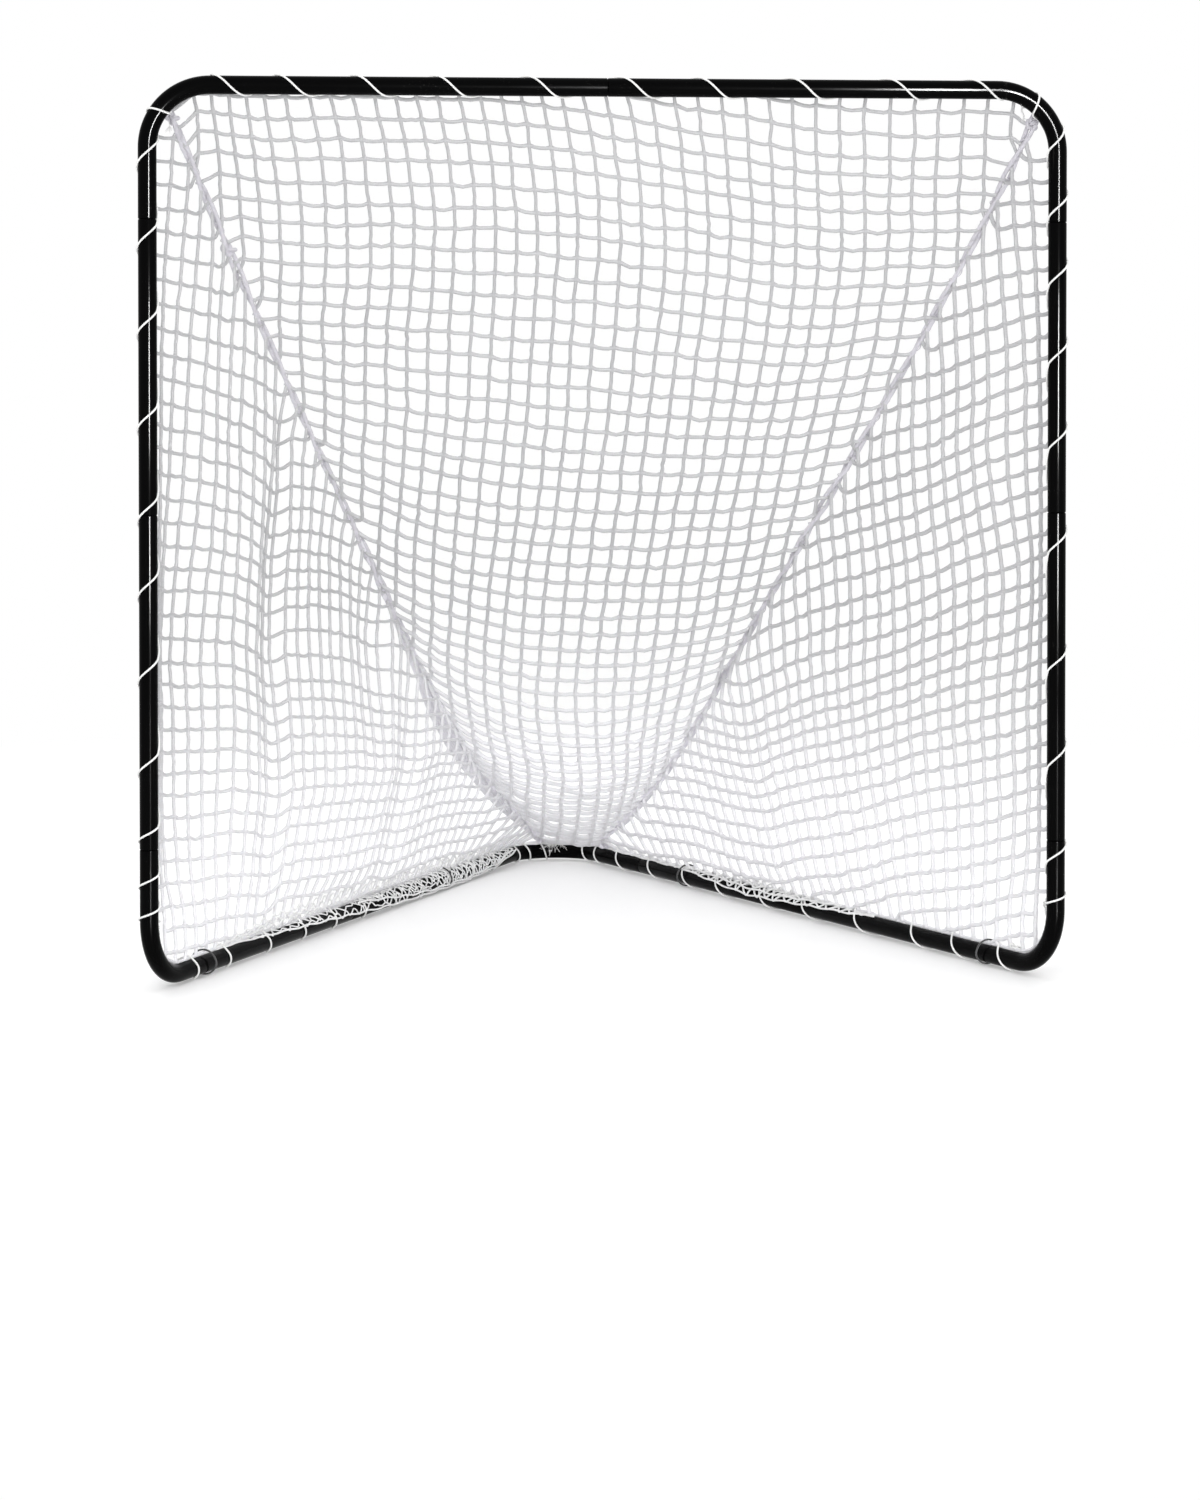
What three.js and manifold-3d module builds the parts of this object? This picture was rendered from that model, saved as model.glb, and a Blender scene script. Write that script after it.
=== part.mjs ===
import * as THREE from 'three';
import { mergeVertices } from 'three/addons/utils/BufferGeometryUtils.js';
import Module from 'manifold-3d';

const wasm = await Module();
wasm.setup();

// Lacrosse goal. Millimetres, +Z up, the mouth faces -Y and the net runs back to +Y.
// Eleven steel tubes plug into each other and are held by sprung snap buttons.

// Mouth of the goal, measured inside the pipes, and the tube stock
const mouthWidth = 1829;
const mouthHeight = 1829;
const tubeRadius = 19;
const tubeWall = 1.5;
const bendRadius = 127;

// Lengths of the tubes, male ends left out
const cornerShortLeg = 290;
const cornerBaseLeg = 969;
const postUpperLength = 602;
const baseRearLength = 763;
const rearStraight = 234;

// Swaged male ends, snap buttons and the leaf springs inside them
const maleRadius = 17.2;
const maleLength = 70;
const swageLength = 3;
const seamGap = 0.3;
const buttonInset = 30;
const buttonRadius = 4.2;
const buttonStandOut = 5;
const buttonDome = 2.2;
const buttonHoleClearance = 0.4;
const springThickness = 0.8;
const springWidth = 9;
const springReach = 40;
const springTail = 7;
const springBendRadius = 3;
const springSeat = 10;
const fitClearance = 0.3;

// Net: twine, the seam ropes between the panels, and how far each hangs at mid span
const twineWidth = 6;
const twineThickness = 5;
const ropeRadius = 7;
const ropeClearance = 2;
const ropeTiltShare = 0.82;
const seamSagLeft = 155;
const seamSagRight = 215;
const seamLowerShare = 0.2;
const seamInward = 42;
const backSag = 85;
const sideBelly = 25;
const apexHalfGap = 62;

// Lacing cord wound round the tubes and over the edge of the net
const lacingRadius = 2.5;
const lacingClearance = 0.35;
const lacingFlatShare = 0.1;

// Ball bungees that hold the net's lower hem down
const ballRadius = 10;
const bungeeCordRadius = 2;
const bungeeBoreRadius = 4.6;

// Counts
const tubeSides = 14;
const bendStepTurn = Math.PI / 12;
const holeSides = 10;
const buttonSides = 10;
const domeSteps = 2;
const lacingSides = 4;
const ropeSides = 6;
const ropeSteps = 20;
const ballSides = 10;
const ballSteps = 6;
const hairpinSteps = 4;
const backColumns = 5;
const backRows = 15;
const sideColumns = 11;
const bungeeSteps = 12;
const bungeeFrontLoop = 1;
const bungeeRearLoop = 8;

// How far the cord has moved along the tube at each eighth of a turn, as a share of the pitch
const advanceShares = [0, 0.06, 0.13, 0.2, 0.27, 0.36, 0.57, 0.79];
const turnSteps = advanceShares.length;

// Sizes that follow from the ones above
const halfMouth = mouthWidth / 2 + tubeRadius;
const polygonGrowth = 1 / Math.cos(Math.PI / tubeSides);
const boreRadius = tubeRadius - tubeWall;
const maleBoreRadius = maleRadius - tubeWall;
const turnCos = Math.cos(Math.PI / turnSteps);
const sectionCos = Math.cos(Math.PI / lacingSides);
const lacingTubeTurn = (tubeRadius + lacingRadius * sectionCos + lacingClearance) / turnCos;
const twineReach = Math.hypot(twineWidth, twineThickness) / 2;
const borderOffset = tubeRadius + lacingClearance + twineReach;
const lacingNetTurn = borderOffset + twineReach + lacingClearance + lacingRadius;
const lacingFlat = lacingRadius * 2 * lacingFlatShare;
const baseAxisHeight = lacingTubeTurn + lacingRadius * sectionCos - lacingFlat;
const barAxisHeight = mouthHeight + tubeRadius;

// The base arms lean in until they meet the rear bend's tangent points
const armLength = cornerBaseLeg - tubeRadius + baseRearLength + rearStraight;
const armAngle = solveArmAngle();
const armSin = Math.sin(armAngle);
const armCos = Math.cos(armAngle);
const rearTangentY = armLength * armCos;
const rearCentreY = rearTangentY - bendRadius * armSin;
const apexY = rearCentreY + bendRadius;

// Angle at which half the mouth's width is used up by an arm and the quarter of the rear bend beside it
function solveArmAngle() {
  let low = 0;
  let high = Math.PI / 4;
  for (let step = 0; step < 60; step += 1) {
    const middle = (low + high) / 2;
    const left = halfMouth - armLength * Math.sin(middle) - bendRadius * Math.cos(middle);
    if (left > 0) low = middle;
    else high = middle;
  }
  return (low + high) / 2;
}

const vec = (x, y, z) => new THREE.Vector3(x, y, z);
const along = (point, direction, distance) => point.clone().addScaledVector(direction, distance);
const mix = (a, b, share) => a.clone().lerp(b, share);
const upward = vec(0, 0, 1);
const backward = vec(0, 1, 0);

// Meshes from vertices and faces
function geometryOf(points, faces) {
  const geometry = new THREE.BufferGeometry();
  const flat = new Float32Array(points.length * 3);
  points.forEach((point, index) => point.toArray(flat, index * 3));
  geometry.setAttribute('position', new THREE.BufferAttribute(flat, 3));
  geometry.setIndex(faces.flat());
  return geometry;
}

// Booleans
function solidOf(geometry) {
  const bare = geometry.clone();
  bare.deleteAttribute('normal');
  bare.deleteAttribute('uv');
  const merged = mergeVertices(bare);
  const mesh = new wasm.Mesh({
    numProp: 3,
    vertProperties: new Float32Array(merged.attributes.position.array),
    triVerts: new Uint32Array(merged.index.array),
  });
  return new wasm.Manifold(mesh);
}

function geometryFrom(solid) {
  const mesh = solid.getMesh();
  const geometry = new THREE.BufferGeometry();
  const stride = mesh.numProp;
  const count = mesh.vertProperties.length / stride;
  const flat = new Float32Array(count * 3);
  for (let index = 0; index < count; index += 1) {
    flat.set(mesh.vertProperties.subarray(index * stride, index * stride + 3), index * 3);
  }
  geometry.setAttribute('position', new THREE.BufferAttribute(flat, 3));
  geometry.setIndex(new THREE.BufferAttribute(new Uint32Array(mesh.triVerts), 1));
  return geometry;
}

function cut(geometry, tools) {
  let solid = solidOf(geometry);
  for (const tool of tools) solid = solid.subtract(solidOf(tool));
  return geometryFrom(solid);
}

// Quads between two rings of equal length, facing out when the rings turn left about the way they advance
function joinRings(faces, first, second, count) {
  for (let side = 0; side < count; side += 1) {
    const next = (side + 1) % count;
    faces.push([first + side, first + next, second + next]);
    faces.push([first + side, second + next, second + side]);
  }
}

// Tubes: rings of points round each station of the centre line, outside and in the bore
function ringPoints(station, radius, sides) {
  const points = [];
  for (let side = 0; side < sides; side += 1) {
    const angle = ((side + 0.5) / sides) * Math.PI * 2;
    const point = station.point.clone();
    point.addScaledVector(station.normal, Math.cos(angle) * radius);
    point.addScaledVector(station.binormal, Math.sin(angle) * radius);
    points.push(point);
  }
  return points;
}

// Stations of a straight run or of one bend between two runs
function tubeRoute(start, corner, end, bendNormal) {
  const stations = [];
  const add = (point, tangent) => {
    const normal = bendNormal.clone();
    const binormal = tangent.clone().cross(normal);
    stations.push({ point, tangent, normal, binormal });
  };
  if (!corner) {
    const tangent = end.clone().sub(start).normalize();
    add(start, tangent);
    add(end, tangent);
    return stations;
  }
  const first = corner.clone().sub(start).normalize();
  const second = end.clone().sub(corner).normalize();
  const turn = first.angleTo(second);
  const bendSteps = Math.round(turn / bendStepTurn);
  const reach = bendRadius * Math.tan(turn / 2);
  const bendStart = along(corner, first, -reach);
  const inward = second.clone().addScaledVector(first, -first.dot(second)).normalize();
  const centre = along(bendStart, inward, bendRadius);
  add(start, first.clone());
  for (let step = 0; step <= bendSteps; step += 1) {
    const angle = (turn * step) / bendSteps;
    const point = centre.clone();
    point.addScaledVector(inward, -bendRadius * Math.cos(angle));
    point.addScaledVector(first, bendRadius * Math.sin(angle));
    const tangent = first.clone().multiplyScalar(Math.cos(angle));
    tangent.addScaledVector(inward, Math.sin(angle));
    add(point, tangent.normalize());
  }
  add(end, second.clone());
  return stations;
}

function maleStations(station, outward) {
  const shifted = (distance) => ({
    ...station,
    point: along(station.point, station.tangent, distance * outward),
  });
  return [
    { ...shifted(swageLength), outer: maleRadius, inner: maleBoreRadius },
    { ...shifted(maleLength), outer: maleRadius, inner: maleBoreRadius },
  ];
}

function tubeGeometry(route, maleStart, maleEnd) {
  const body = route.map((station) => ({ ...station, outer: tubeRadius, inner: boreRadius }));
  const stations = [...body];
  if (maleStart) stations.unshift(...maleStations(route[0], -1).reverse());
  if (maleEnd) stations.push(...maleStations(route[route.length - 1], 1));
  const points = [];
  const faces = [];
  for (const station of stations) points.push(...ringPoints(station, station.outer, tubeSides));
  for (const station of stations) {
    points.push(...ringPoints(station, station.inner * polygonGrowth, tubeSides));
  }
  const innerBase = stations.length * tubeSides;
  const lastRing = (stations.length - 1) * tubeSides;
  for (let ring = 0; ring < stations.length - 1; ring += 1) {
    joinRings(faces, ring * tubeSides, (ring + 1) * tubeSides, tubeSides);
    joinRings(faces, innerBase + (ring + 1) * tubeSides, innerBase + ring * tubeSides, tubeSides);
  }
  joinRings(faces, innerBase, 0, tubeSides);
  joinRings(faces, lastRing, innerBase + lastRing, tubeSides);
  return geometryOf(points, faces);
}

// A turned solid along an axis, from a profile of radius and height
function turned(profile, sides, origin, axis) {
  const shape = profile.map(([radius, height]) => new THREE.Vector2(radius, height));
  const geometry = new THREE.LatheGeometry(shape, sides);
  const turn = new THREE.Quaternion().setFromUnitVectors(backward, axis);
  geometry.applyQuaternion(turn);
  geometry.translate(origin.x, origin.y, origin.z);
  return geometry;
}

function holeCutter(joint) {
  const radius = (buttonRadius + buttonHoleClearance) / Math.cos(Math.PI / holeSides);
  const inner = springBendRadius;
  const outer = tubeRadius + buttonStandOut;
  const profile = [[0, inner], [radius, inner], [radius, outer], [0, outer]];
  return turned(profile, holeSides, joint.centre, joint.facing);
}

function buttonGeometry(joint) {
  const leafTop = leafHeight() + springThickness / 2;
  const bottom = leafTop + fitClearance;
  const top = tubeRadius + buttonStandOut;
  const profile = [[0, bottom], [buttonRadius, bottom]];
  for (let step = 0; step <= domeSteps; step += 1) {
    const angle = (step / domeSteps) * (Math.PI / 2);
    const radius = step === domeSteps ? 0 : buttonRadius * Math.cos(angle);
    profile.push([radius, top - buttonDome + buttonDome * Math.sin(angle)]);
  }
  return turned(profile, buttonSides, joint.centre, joint.facing);
}

// Height of the spring's leaf over the tube's axis, where the strip's edges just clear the bore
function leafHeight() {
  const room = maleBoreRadius - fitClearance;
  return Math.sqrt(room ** 2 - (springWidth / 2) ** 2) - springThickness / 2;
}

// Hairpin leaf spring: a strip bent round, one leaf under the button and one on the far wall
function springGeometry(joint) {
  const height = leafHeight();
  const straight = springReach - springBendRadius;
  const centreLine = [[-springTail, height], [springSeat, height]];
  for (let step = 0; step <= hairpinSteps; step += 1) {
    const angle = Math.PI / 2 - (Math.PI * step) / hairpinSteps;
    const x = straight + springBendRadius * Math.cos(angle);
    centreLine.push([x, springBendRadius * Math.sin(angle)]);
  }
  centreLine.push([springSeat, -height], [-springTail, -height]);
  const line = centreLine.map(([x, y]) => new THREE.Vector2(x, y));
  const sides = [1, -1].map((sign) => line.map((point, index) => {
    const before = line[Math.max(index - 1, 0)];
    const after = line[Math.min(index + 1, line.length - 1)];
    const ahead = after.clone().sub(before).normalize();
    const out = new THREE.Vector2(-ahead.y, ahead.x);
    return point.clone().addScaledVector(out, (sign * springThickness) / 2);
  }));
  const outline = new THREE.Shape([...sides[0], ...sides[1].reverse()]);
  const geometry = new THREE.ExtrudeGeometry(outline, { depth: springWidth, bevelEnabled: false });
  geometry.translate(0, 0, -springWidth / 2);
  const across = joint.inside.clone().cross(joint.facing);
  const frame = new THREE.Matrix4().makeBasis(joint.inside, joint.facing, across);
  frame.setPosition(joint.centre);
  geometry.applyMatrix4(frame);
  return geometry;
}

// Cords: one unbroken tube through a line of points, each with the way its section faces
function cordGeometry(line, radius, sides) {
  const points = [];
  const faces = [];
  line.forEach(({ point, facing }, index) => {
    const before = line[Math.max(index - 1, 0)].point;
    const after = line[Math.min(index + 1, line.length - 1)].point;
    const tangent = after.clone().sub(before).normalize();
    const normal = facing.clone().addScaledVector(tangent, -facing.dot(tangent)).normalize();
    const binormal = tangent.clone().cross(normal);
    points.push(...ringPoints({ point, normal, binormal }, radius, sides));
  });
  for (let ring = 0; ring < line.length - 1; ring += 1) {
    joinRings(faces, ring * sides, (ring + 1) * sides, sides);
  }
  const last = (line.length - 1) * sides;
  for (let side = 1; side < sides - 1; side += 1) {
    faces.push([0, side + 1, side]);
    faces.push([last, last + side, last + side + 1]);
  }
  return geometryOf(points, faces);
}

// Least gap between turns of one cord, measured on points along its line
function leastGap(line, radius) {
  const samples = [];
  for (let index = 0; index < line.length - 1; index += 1) {
    for (const share of [0, 0.5]) {
      samples.push({ place: index + share, point: mix(line[index].point, line[index + 1].point, share) });
    }
  }
  let least = Infinity;
  for (const first of samples) {
    for (const second of samples) {
      if (second.place - first.place < turnSteps / 2) continue;
      least = Math.min(least, first.point.distanceTo(second.point) - radius * 2);
    }
  }
  return least;
}

// Lacing: turns round a tube that also pass over the net's edge cord on one side of it
function winding({ rail, netSide, hand, firstStep, lastStep, pitch, netTurn, slack }) {
  const line = [];
  for (let step = firstStep; step <= lastStep; step += 1) {
    const turn = Math.floor(step / turnSteps);
    const place = step % turnSteps;
    const { centre, axis } = rail((turn + advanceShares[place]) * pitch);
    const across = axis.clone().cross(netSide).multiplyScalar(hand);
    const angle = Math.PI / 2 + (place / turnSteps) * Math.PI * 2;
    const facing = netSide.clone().multiplyScalar(Math.cos(angle));
    facing.addScaledVector(across, Math.sin(angle));
    const overNet = Math.max(Math.cos(angle), 0);
    const radius = lacingTubeTurn + (netTurn - lacingTubeTurn) * Math.sqrt(overNet);
    const point = along(centre, facing, radius);
    line.push({ point: along(point, across, Math.sin(angle) * slack), facing });
  }
  return line;
}

function straightRail(start, axis) {
  return (distance) => ({ centre: along(start, axis, distance), axis });
}

// Nets: a flat lattice of twine, thickened round each knot in the plane that the net has there
function netGeometry(knots, links) {
  const spokes = knots.map(() => []);
  links.forEach(([a, b]) => {
    spokes[a].push({ to: b });
    spokes[b].push({ to: a });
  });
  const points = [];
  const faces = [];
  knots.forEach((knot, index) => {
    const normal = knot.normal.clone().normalize();
    const first = knots[spokes[index][0].to].point.clone().sub(knot.point);
    const axisU = first.addScaledVector(normal, -first.dot(normal)).normalize();
    const axisV = normal.clone().cross(axisU);
    for (const spoke of spokes[index]) {
      const way = knots[spoke.to].point.clone().sub(knot.point);
      spoke.angle = Math.atan2(way.dot(axisV), way.dot(axisU));
    }
    spokes[index].sort((a, b) => a.angle - b.angle);
    const count = spokes[index].length;
    spokes[index].forEach((spoke, place) => {
      const next = spokes[index][(place + 1) % count];
      let opening = next.angle - spoke.angle;
      if (opening <= 0) opening += Math.PI * 2;
      const angle = spoke.angle + opening / 2;
      const reach = twineWidth / 2 / Math.sin(opening / 2);
      const corner = along(knot.point, axisU, Math.cos(angle) * reach);
      corner.addScaledVector(axisV, Math.sin(angle) * reach);
      spoke.left = points.length;
      next.right = points.length;
      points.push(along(corner, normal, twineThickness / 2), along(corner, normal, -twineThickness / 2));
    });
    for (let place = 1; place < count - 1; place += 1) {
      const [a, b, c] = [spokes[index][0], spokes[index][place], spokes[index][place + 1]];
      faces.push([a.left, b.left, c.left], [a.left + 1, c.left + 1, b.left + 1]);
    }
  });
  const quad = (a, b, c, d) => faces.push([a, b, c], [a, c, d]);
  links.forEach(([a, b]) => {
    const near = spokes[a].find((spoke) => spoke.to === b);
    const far = spokes[b].find((spoke) => spoke.to === a);
    quad(near.right, far.left, far.right, near.left);
    quad(near.left + 1, far.right + 1, far.left + 1, near.right + 1);
    quad(near.right + 1, far.left + 1, far.left, near.right);
    quad(far.right + 1, near.left + 1, near.left, far.right);
  });
  return geometryOf(points, faces);
}

// Line of the frame: posts at each side, crossbar over them, arms back to the rear bend
const sideOf = { left: -1, right: 1 };
const armWay = (side) => vec(-side * armSin, armCos, 0);
const armOut = (side) => vec(side * armCos, armSin, 0);
const postPoint = (side, height) => vec(side * halfMouth, 0, height);
const armPoint = (side, distance) => along(postPoint(side, baseAxisHeight), armWay(side), distance);

// Point above the base tube at a distance from the post, round the rear bend as well
function railPoint(side, distance, lift) {
  const height = baseAxisHeight + lift;
  if (distance <= armLength) {
    const point = armPoint(side, distance);
    return vec(point.x, point.y, height);
  }
  const angle = Math.PI / 2 - armAngle - (distance - armLength) / bendRadius;
  return vec(side * bendRadius * Math.sin(angle), rearCentreY + bendRadius * Math.cos(angle), height);
}

// Seam rope of one side, from the back of the top bend to the top of the rear bend
const bendMiddle = bendRadius * (1 - Math.SQRT1_2);
const ropeLift = ropeRadius * ropeTiltShare + fitClearance;
const ropeBack = tubeRadius + ropeLift;
const seamTopX = halfMouth - bendMiddle;
const seamTopZ = barAxisHeight - bendMiddle;
const apexTurn = Math.asin(apexHalfGap / bendRadius);
const seamEndY = rearCentreY + bendRadius * Math.cos(apexTurn);
const railToSeam = armLength + bendRadius * (Math.PI / 2 - armAngle - apexTurn);
const sideReach = railToSeam - ropeRadius * 3 - ropeClearance - twineReach;

function seamPoint(side, share) {
  const sag = side < 0 ? seamSagLeft : seamSagRight;
  const hang = 4 * share * (1 - share) * (1 + seamLowerShare * (2 * share - 1));
  const top = vec(side * seamTopX, ropeBack, seamTopZ);
  const end = vec(side * apexHalfGap, seamEndY, baseAxisHeight + tubeRadius + ropeLift);
  const point = mix(top, end, share);
  point.x -= side * seamInward * hang;
  point.z -= sag * hang;
  return point;
}

// The back panel hangs between the two seams, lowest in the middle of each row
function backPanel() {
  const knots = [];
  const links = [];
  const rows = [];
  const inset = ropeRadius + ropeClearance + twineWidth / 2;
  const normal = vec(0, Math.SQRT1_2, Math.SQRT1_2);
  const lastRow = backRows - 1;
  for (let row = 0; row <= lastRow; row += 1) {
    const share = row / lastRow;
    const left = seamPoint(-1, share);
    const right = seamPoint(1, share);
    left.x += inset;
    right.x -= inset;
    const columns = backColumns * (1 - row / backRows);
    const inner = Math.ceil(columns - 1e-6) - 1;
    const places = [-columns];
    for (let column = -inner; column <= inner; column += 1) places.push(column);
    places.push(columns);
    const list = places.map((place) => {
      const across = (place / columns + 1) / 2;
      const point = mix(left, right, across);
      const hang = 4 * across * (1 - across);
      point.z -= backSag * hang * Math.sin(Math.PI * share);
      if (row === 0) {
        const barLine = vec(point.x, borderOffset, barAxisHeight);
        const flat = Math.abs(place) < columns;
        if (flat) point.copy(barLine);
      }
      knots.push({ point, normal });
      return { place, index: knots.length - 1 };
    });
    for (let step = 1; step < list.length; step += 1) links.push([list[step - 1].index, list[step].index]);
    rows.push({ list, columns });
  }
  for (let row = 1; row < rows.length; row += 1) {
    const above = rows[row - 1].list;
    const here = rows[row].list;
    links.push([above[0].index, here[0].index]);
    links.push([above[above.length - 1].index, here[here.length - 1].index]);
    for (const knot of above.slice(1, -1)) {
      const below = here.find((other) => Math.abs(other.place - knot.place) < 1e-6);
      if (below) links.push([knot.index, below.index]);
    }
  }
  return netGeometry(knots, links);
}

// A side panel fills the triangle between the post, the base arm and the seam
function sidePanel(side) {
  const knots = [];
  const links = [];
  const table = [];
  const outward = armOut(side);
  const way = armWay(side);
  const gap = ropeRadius + ropeClearance + twineReach;
  const cornerReach = bendRadius * (1 - Math.SQRT1_2) + borderOffset;
  for (let column = 0; column <= sideColumns; column += 1) {
    const share = column / sideColumns;
    const foot = railPoint(side, borderOffset + (sideReach - borderOffset) * share, borderOffset);
    const seam = seamPoint(side, share);
    const run = seamPoint(side, share + 0.01).sub(seam).normalize();
    const down = vec(0, 0, -1).addScaledVector(outward, Math.SQRT1_2);
    down.addScaledVector(run, -down.dot(run)).normalize();
    const top = along(seam, down, gap);
    if (column === 0) {
      foot.copy(along(postPoint(side, baseAxisHeight + cornerReach), way, cornerReach));
      top.set(side * (seamTopX + bendMiddle / 2), borderOffset, seamTopZ - bendMiddle);
    }
    const rows = sideColumns - column;
    const list = [];
    for (let row = 0; row <= rows; row += 1) {
      const rise = rows === 0 ? 0 : row / rows;
      const point = mix(foot, top, rise);
      if (column === 0 && row > 0 && row < rows) {
        const line = along(postPoint(side, point.z), way, borderOffset);
        point.copy(line);
      }
      const belly = Math.sin(Math.PI * share) * Math.sin(Math.PI * rise);
      point.addScaledVector(outward, -sideBelly * belly);
      knots.push({ point, normal: outward });
      list.push(knots.length - 1);
      if (row > 0) links.push([list[row - 1], list[row]]);
    }
    table.push(list);
  }
  for (let column = 1; column <= sideColumns; column += 1) {
    table[column].forEach((index, row) => links.push([table[column - 1][row], index]));
    const before = table[column - 1];
    const here = table[column];
    links.push([before[before.length - 1], here[here.length - 1]]);
  }
  return netGeometry(knots, dropDoubles(links));
}

function dropDoubles(links) {
  const seen = new Set();
  return links.filter(([a, b]) => {
    const key = `${Math.min(a, b)} ${Math.max(a, b)}`;
    const fresh = !seen.has(key);
    seen.add(key);
    return fresh && a !== b;
  });
}

// Joints between tubes: where the seam is, which way the female tube lies and where the button faces
function jointAt(seam, intoFemale, facing) {
  const centre = along(seam, intoFemale, buttonInset);
  return { seam, inside: intoFemale.clone().negate(), facing: facing.clone().normalize(), centre };
}

const goal = new THREE.Group();
goal.name = 'lacrosse_goal';
const paint = { color: 0x0c0c0d, roughness: 0.25, metalness: 0.1 };
const chrome = { color: 0xd9dadc, roughness: 0.15, metalness: 1 };
const springSteel = { color: 0x8f9296, roughness: 0.35, metalness: 1 };
const twine = { color: 0xd2d3d6, roughness: 0.85, metalness: 0 };
const cordWhite = { color: 0xf1f1ef, roughness: 0.8, metalness: 0 };
const blackRubber = { color: 0x111112, roughness: 0.5, metalness: 0 };

function addPiece(name, geometry, finish) {
  const mesh = new THREE.Mesh(geometry, new THREE.MeshStandardMaterial(finish));
  mesh.name = name;
  goal.add(mesh);
}

// Heights of the seams in the posts, from the crossbar's top down to the base
const cornerSeamZ = barAxisHeight + tubeRadius - cornerShortLeg;
const middleSeamZ = cornerSeamZ - postUpperLength;
const footSeamZ = baseAxisHeight - tubeRadius + cornerShortLeg;
const baseSeam = cornerBaseLeg - tubeRadius;
const rearSeam = baseSeam + baseRearLength;
const bottomOffset = seamGap + swageLength;

const joints = { crossbar: jointAt(vec(0, 0, barAxisHeight), vec(-1, 0, 0), vec(0, Math.SQRT1_2, Math.SQRT1_2)) };
for (const [word, side] of Object.entries(sideOf)) {
  const facing = backward;
  joints[`post_top_${word}`] = jointAt(postPoint(side, cornerSeamZ), upward, facing);
  joints[`post_middle_${word}`] = jointAt(postPoint(side, middleSeamZ), upward.clone().negate(), facing);
  joints[`post_foot_${word}`] = jointAt(postPoint(side, footSeamZ), upward.clone().negate(), facing);
  const back = armWay(side);
  const outwardUp = armOut(side).add(upward);
  joints[`base_front_${word}`] = jointAt(armPoint(side, baseSeam), back.clone().negate(), outwardUp);
  joints[`base_rear_${word}`] = jointAt(armPoint(side, rearSeam), back, outwardUp);
}

// Corner of the top frame: one leg down the post, one along the crossbar
function topCorner(side, male) {
  const crossSeam = vec(0, 0, barAxisHeight);
  const inwardWay = vec(-side, 0, 0);
  const legEnd = male ? along(crossSeam, inwardWay, -bottomOffset) : crossSeam;
  const route = tubeRoute(
    postPoint(side, cornerSeamZ),
    vec(side * halfMouth, 0, barAxisHeight),
    legEnd,
    backward.clone(),
  );
  return tubeGeometry(route, false, male);
}

function bottomCorner(side) {
  const route = tubeRoute(
    postPoint(side, footSeamZ),
    postPoint(side, baseAxisHeight),
    armPoint(side, baseSeam),
    armOut(side),
  );
  return tubeGeometry(route, false, false);
}

for (const [word, side] of Object.entries(sideOf)) {
  const hole = (name) => holeCutter(joints[`${name}_${word}`]);
  const crossHole = holeCutter(joints.crossbar);
  const sideNormal = armOut(side);
  addPiece(`corner_top_${word}`, cut(topCorner(side, side > 0), [hole('post_top'), crossHole]), paint);
  const upperTop = postPoint(side, cornerSeamZ - bottomOffset);
  const upperBottom = postPoint(side, middleSeamZ + bottomOffset);
  const upper = tubeGeometry(tubeRoute(upperBottom, null, upperTop, backward.clone()), true, true);
  addPiece(`post_upper_${word}`, cut(upper, [hole('post_top'), hole('post_middle')]), paint);
  const lowerTop = postPoint(side, middleSeamZ);
  const lowerBottom = postPoint(side, footSeamZ + bottomOffset);
  const lower = tubeGeometry(tubeRoute(lowerBottom, null, lowerTop, backward.clone()), true, false);
  addPiece(`post_lower_${word}`, cut(lower, [hole('post_middle'), hole('post_foot')]), paint);
  addPiece(`corner_bottom_${word}`, cut(bottomCorner(side), [hole('post_foot'), hole('base_front')]), paint);
  const armStart = armPoint(side, baseSeam + bottomOffset);
  const armEnd = armPoint(side, rearSeam - bottomOffset);
  const rear = tubeGeometry(tubeRoute(armStart, null, armEnd, sideNormal), true, true);
  addPiece(`base_rear_${word}`, cut(rear, [hole('base_front'), hole('base_rear')]), paint);
}

const apexCorner = vec(0, rearTangentY + (bendRadius * armCos * armCos) / armSin, baseAxisHeight);
const rearRoute = tubeRoute(armPoint(-1, rearSeam), apexCorner, armPoint(1, rearSeam), upward.clone());
const rearHoles = [holeCutter(joints.base_rear_left), holeCutter(joints.base_rear_right)];
addPiece('rear_v_tube', cut(tubeGeometry(rearRoute, false, false), rearHoles), paint);

for (const [name, joint] of Object.entries(joints)) {
  addPiece(`snap_button_${name}`, buttonGeometry(joint), chrome);
  addPiece(`clip_spring_${name}`, springGeometry(joint), springSteel);
}

addPiece('net_back', backPanel(), twine);
addPiece('net_left', sidePanel(-1), twine);
addPiece('net_right', sidePanel(1), twine);

for (const [word, side] of Object.entries(sideOf)) {
  const line = [];
  for (let step = 0; step <= ropeSteps; step += 1) {
    line.push({ point: seamPoint(side, step / ropeSteps), facing: armOut(side) });
  }
  addPiece(`seam_rope_${word}`, cordGeometry(line, ropeRadius, ropeSides), cordWhite);
}

// Lacing runs, each one cord: along the crossbar, down each post and along each base arm
const barPitch = (seamTopX - ropeRadius - ropeClearance - twineWidth / 2) / backColumns;
const barFirstColumn = -barPitch * backColumns;
const postFoot = baseAxisHeight + bendMiddle + borderOffset;
const postPitch = (seamTopZ - bendMiddle - postFoot) / sideColumns;
const armPitch = (sideReach - borderOffset) / sideColumns;
const passOverNet = advanceShares[6];
const passBehindBar = advanceShares[5];
const armLacingStart = borderOffset + armPitch * (0.5 - passOverNet);

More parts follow.
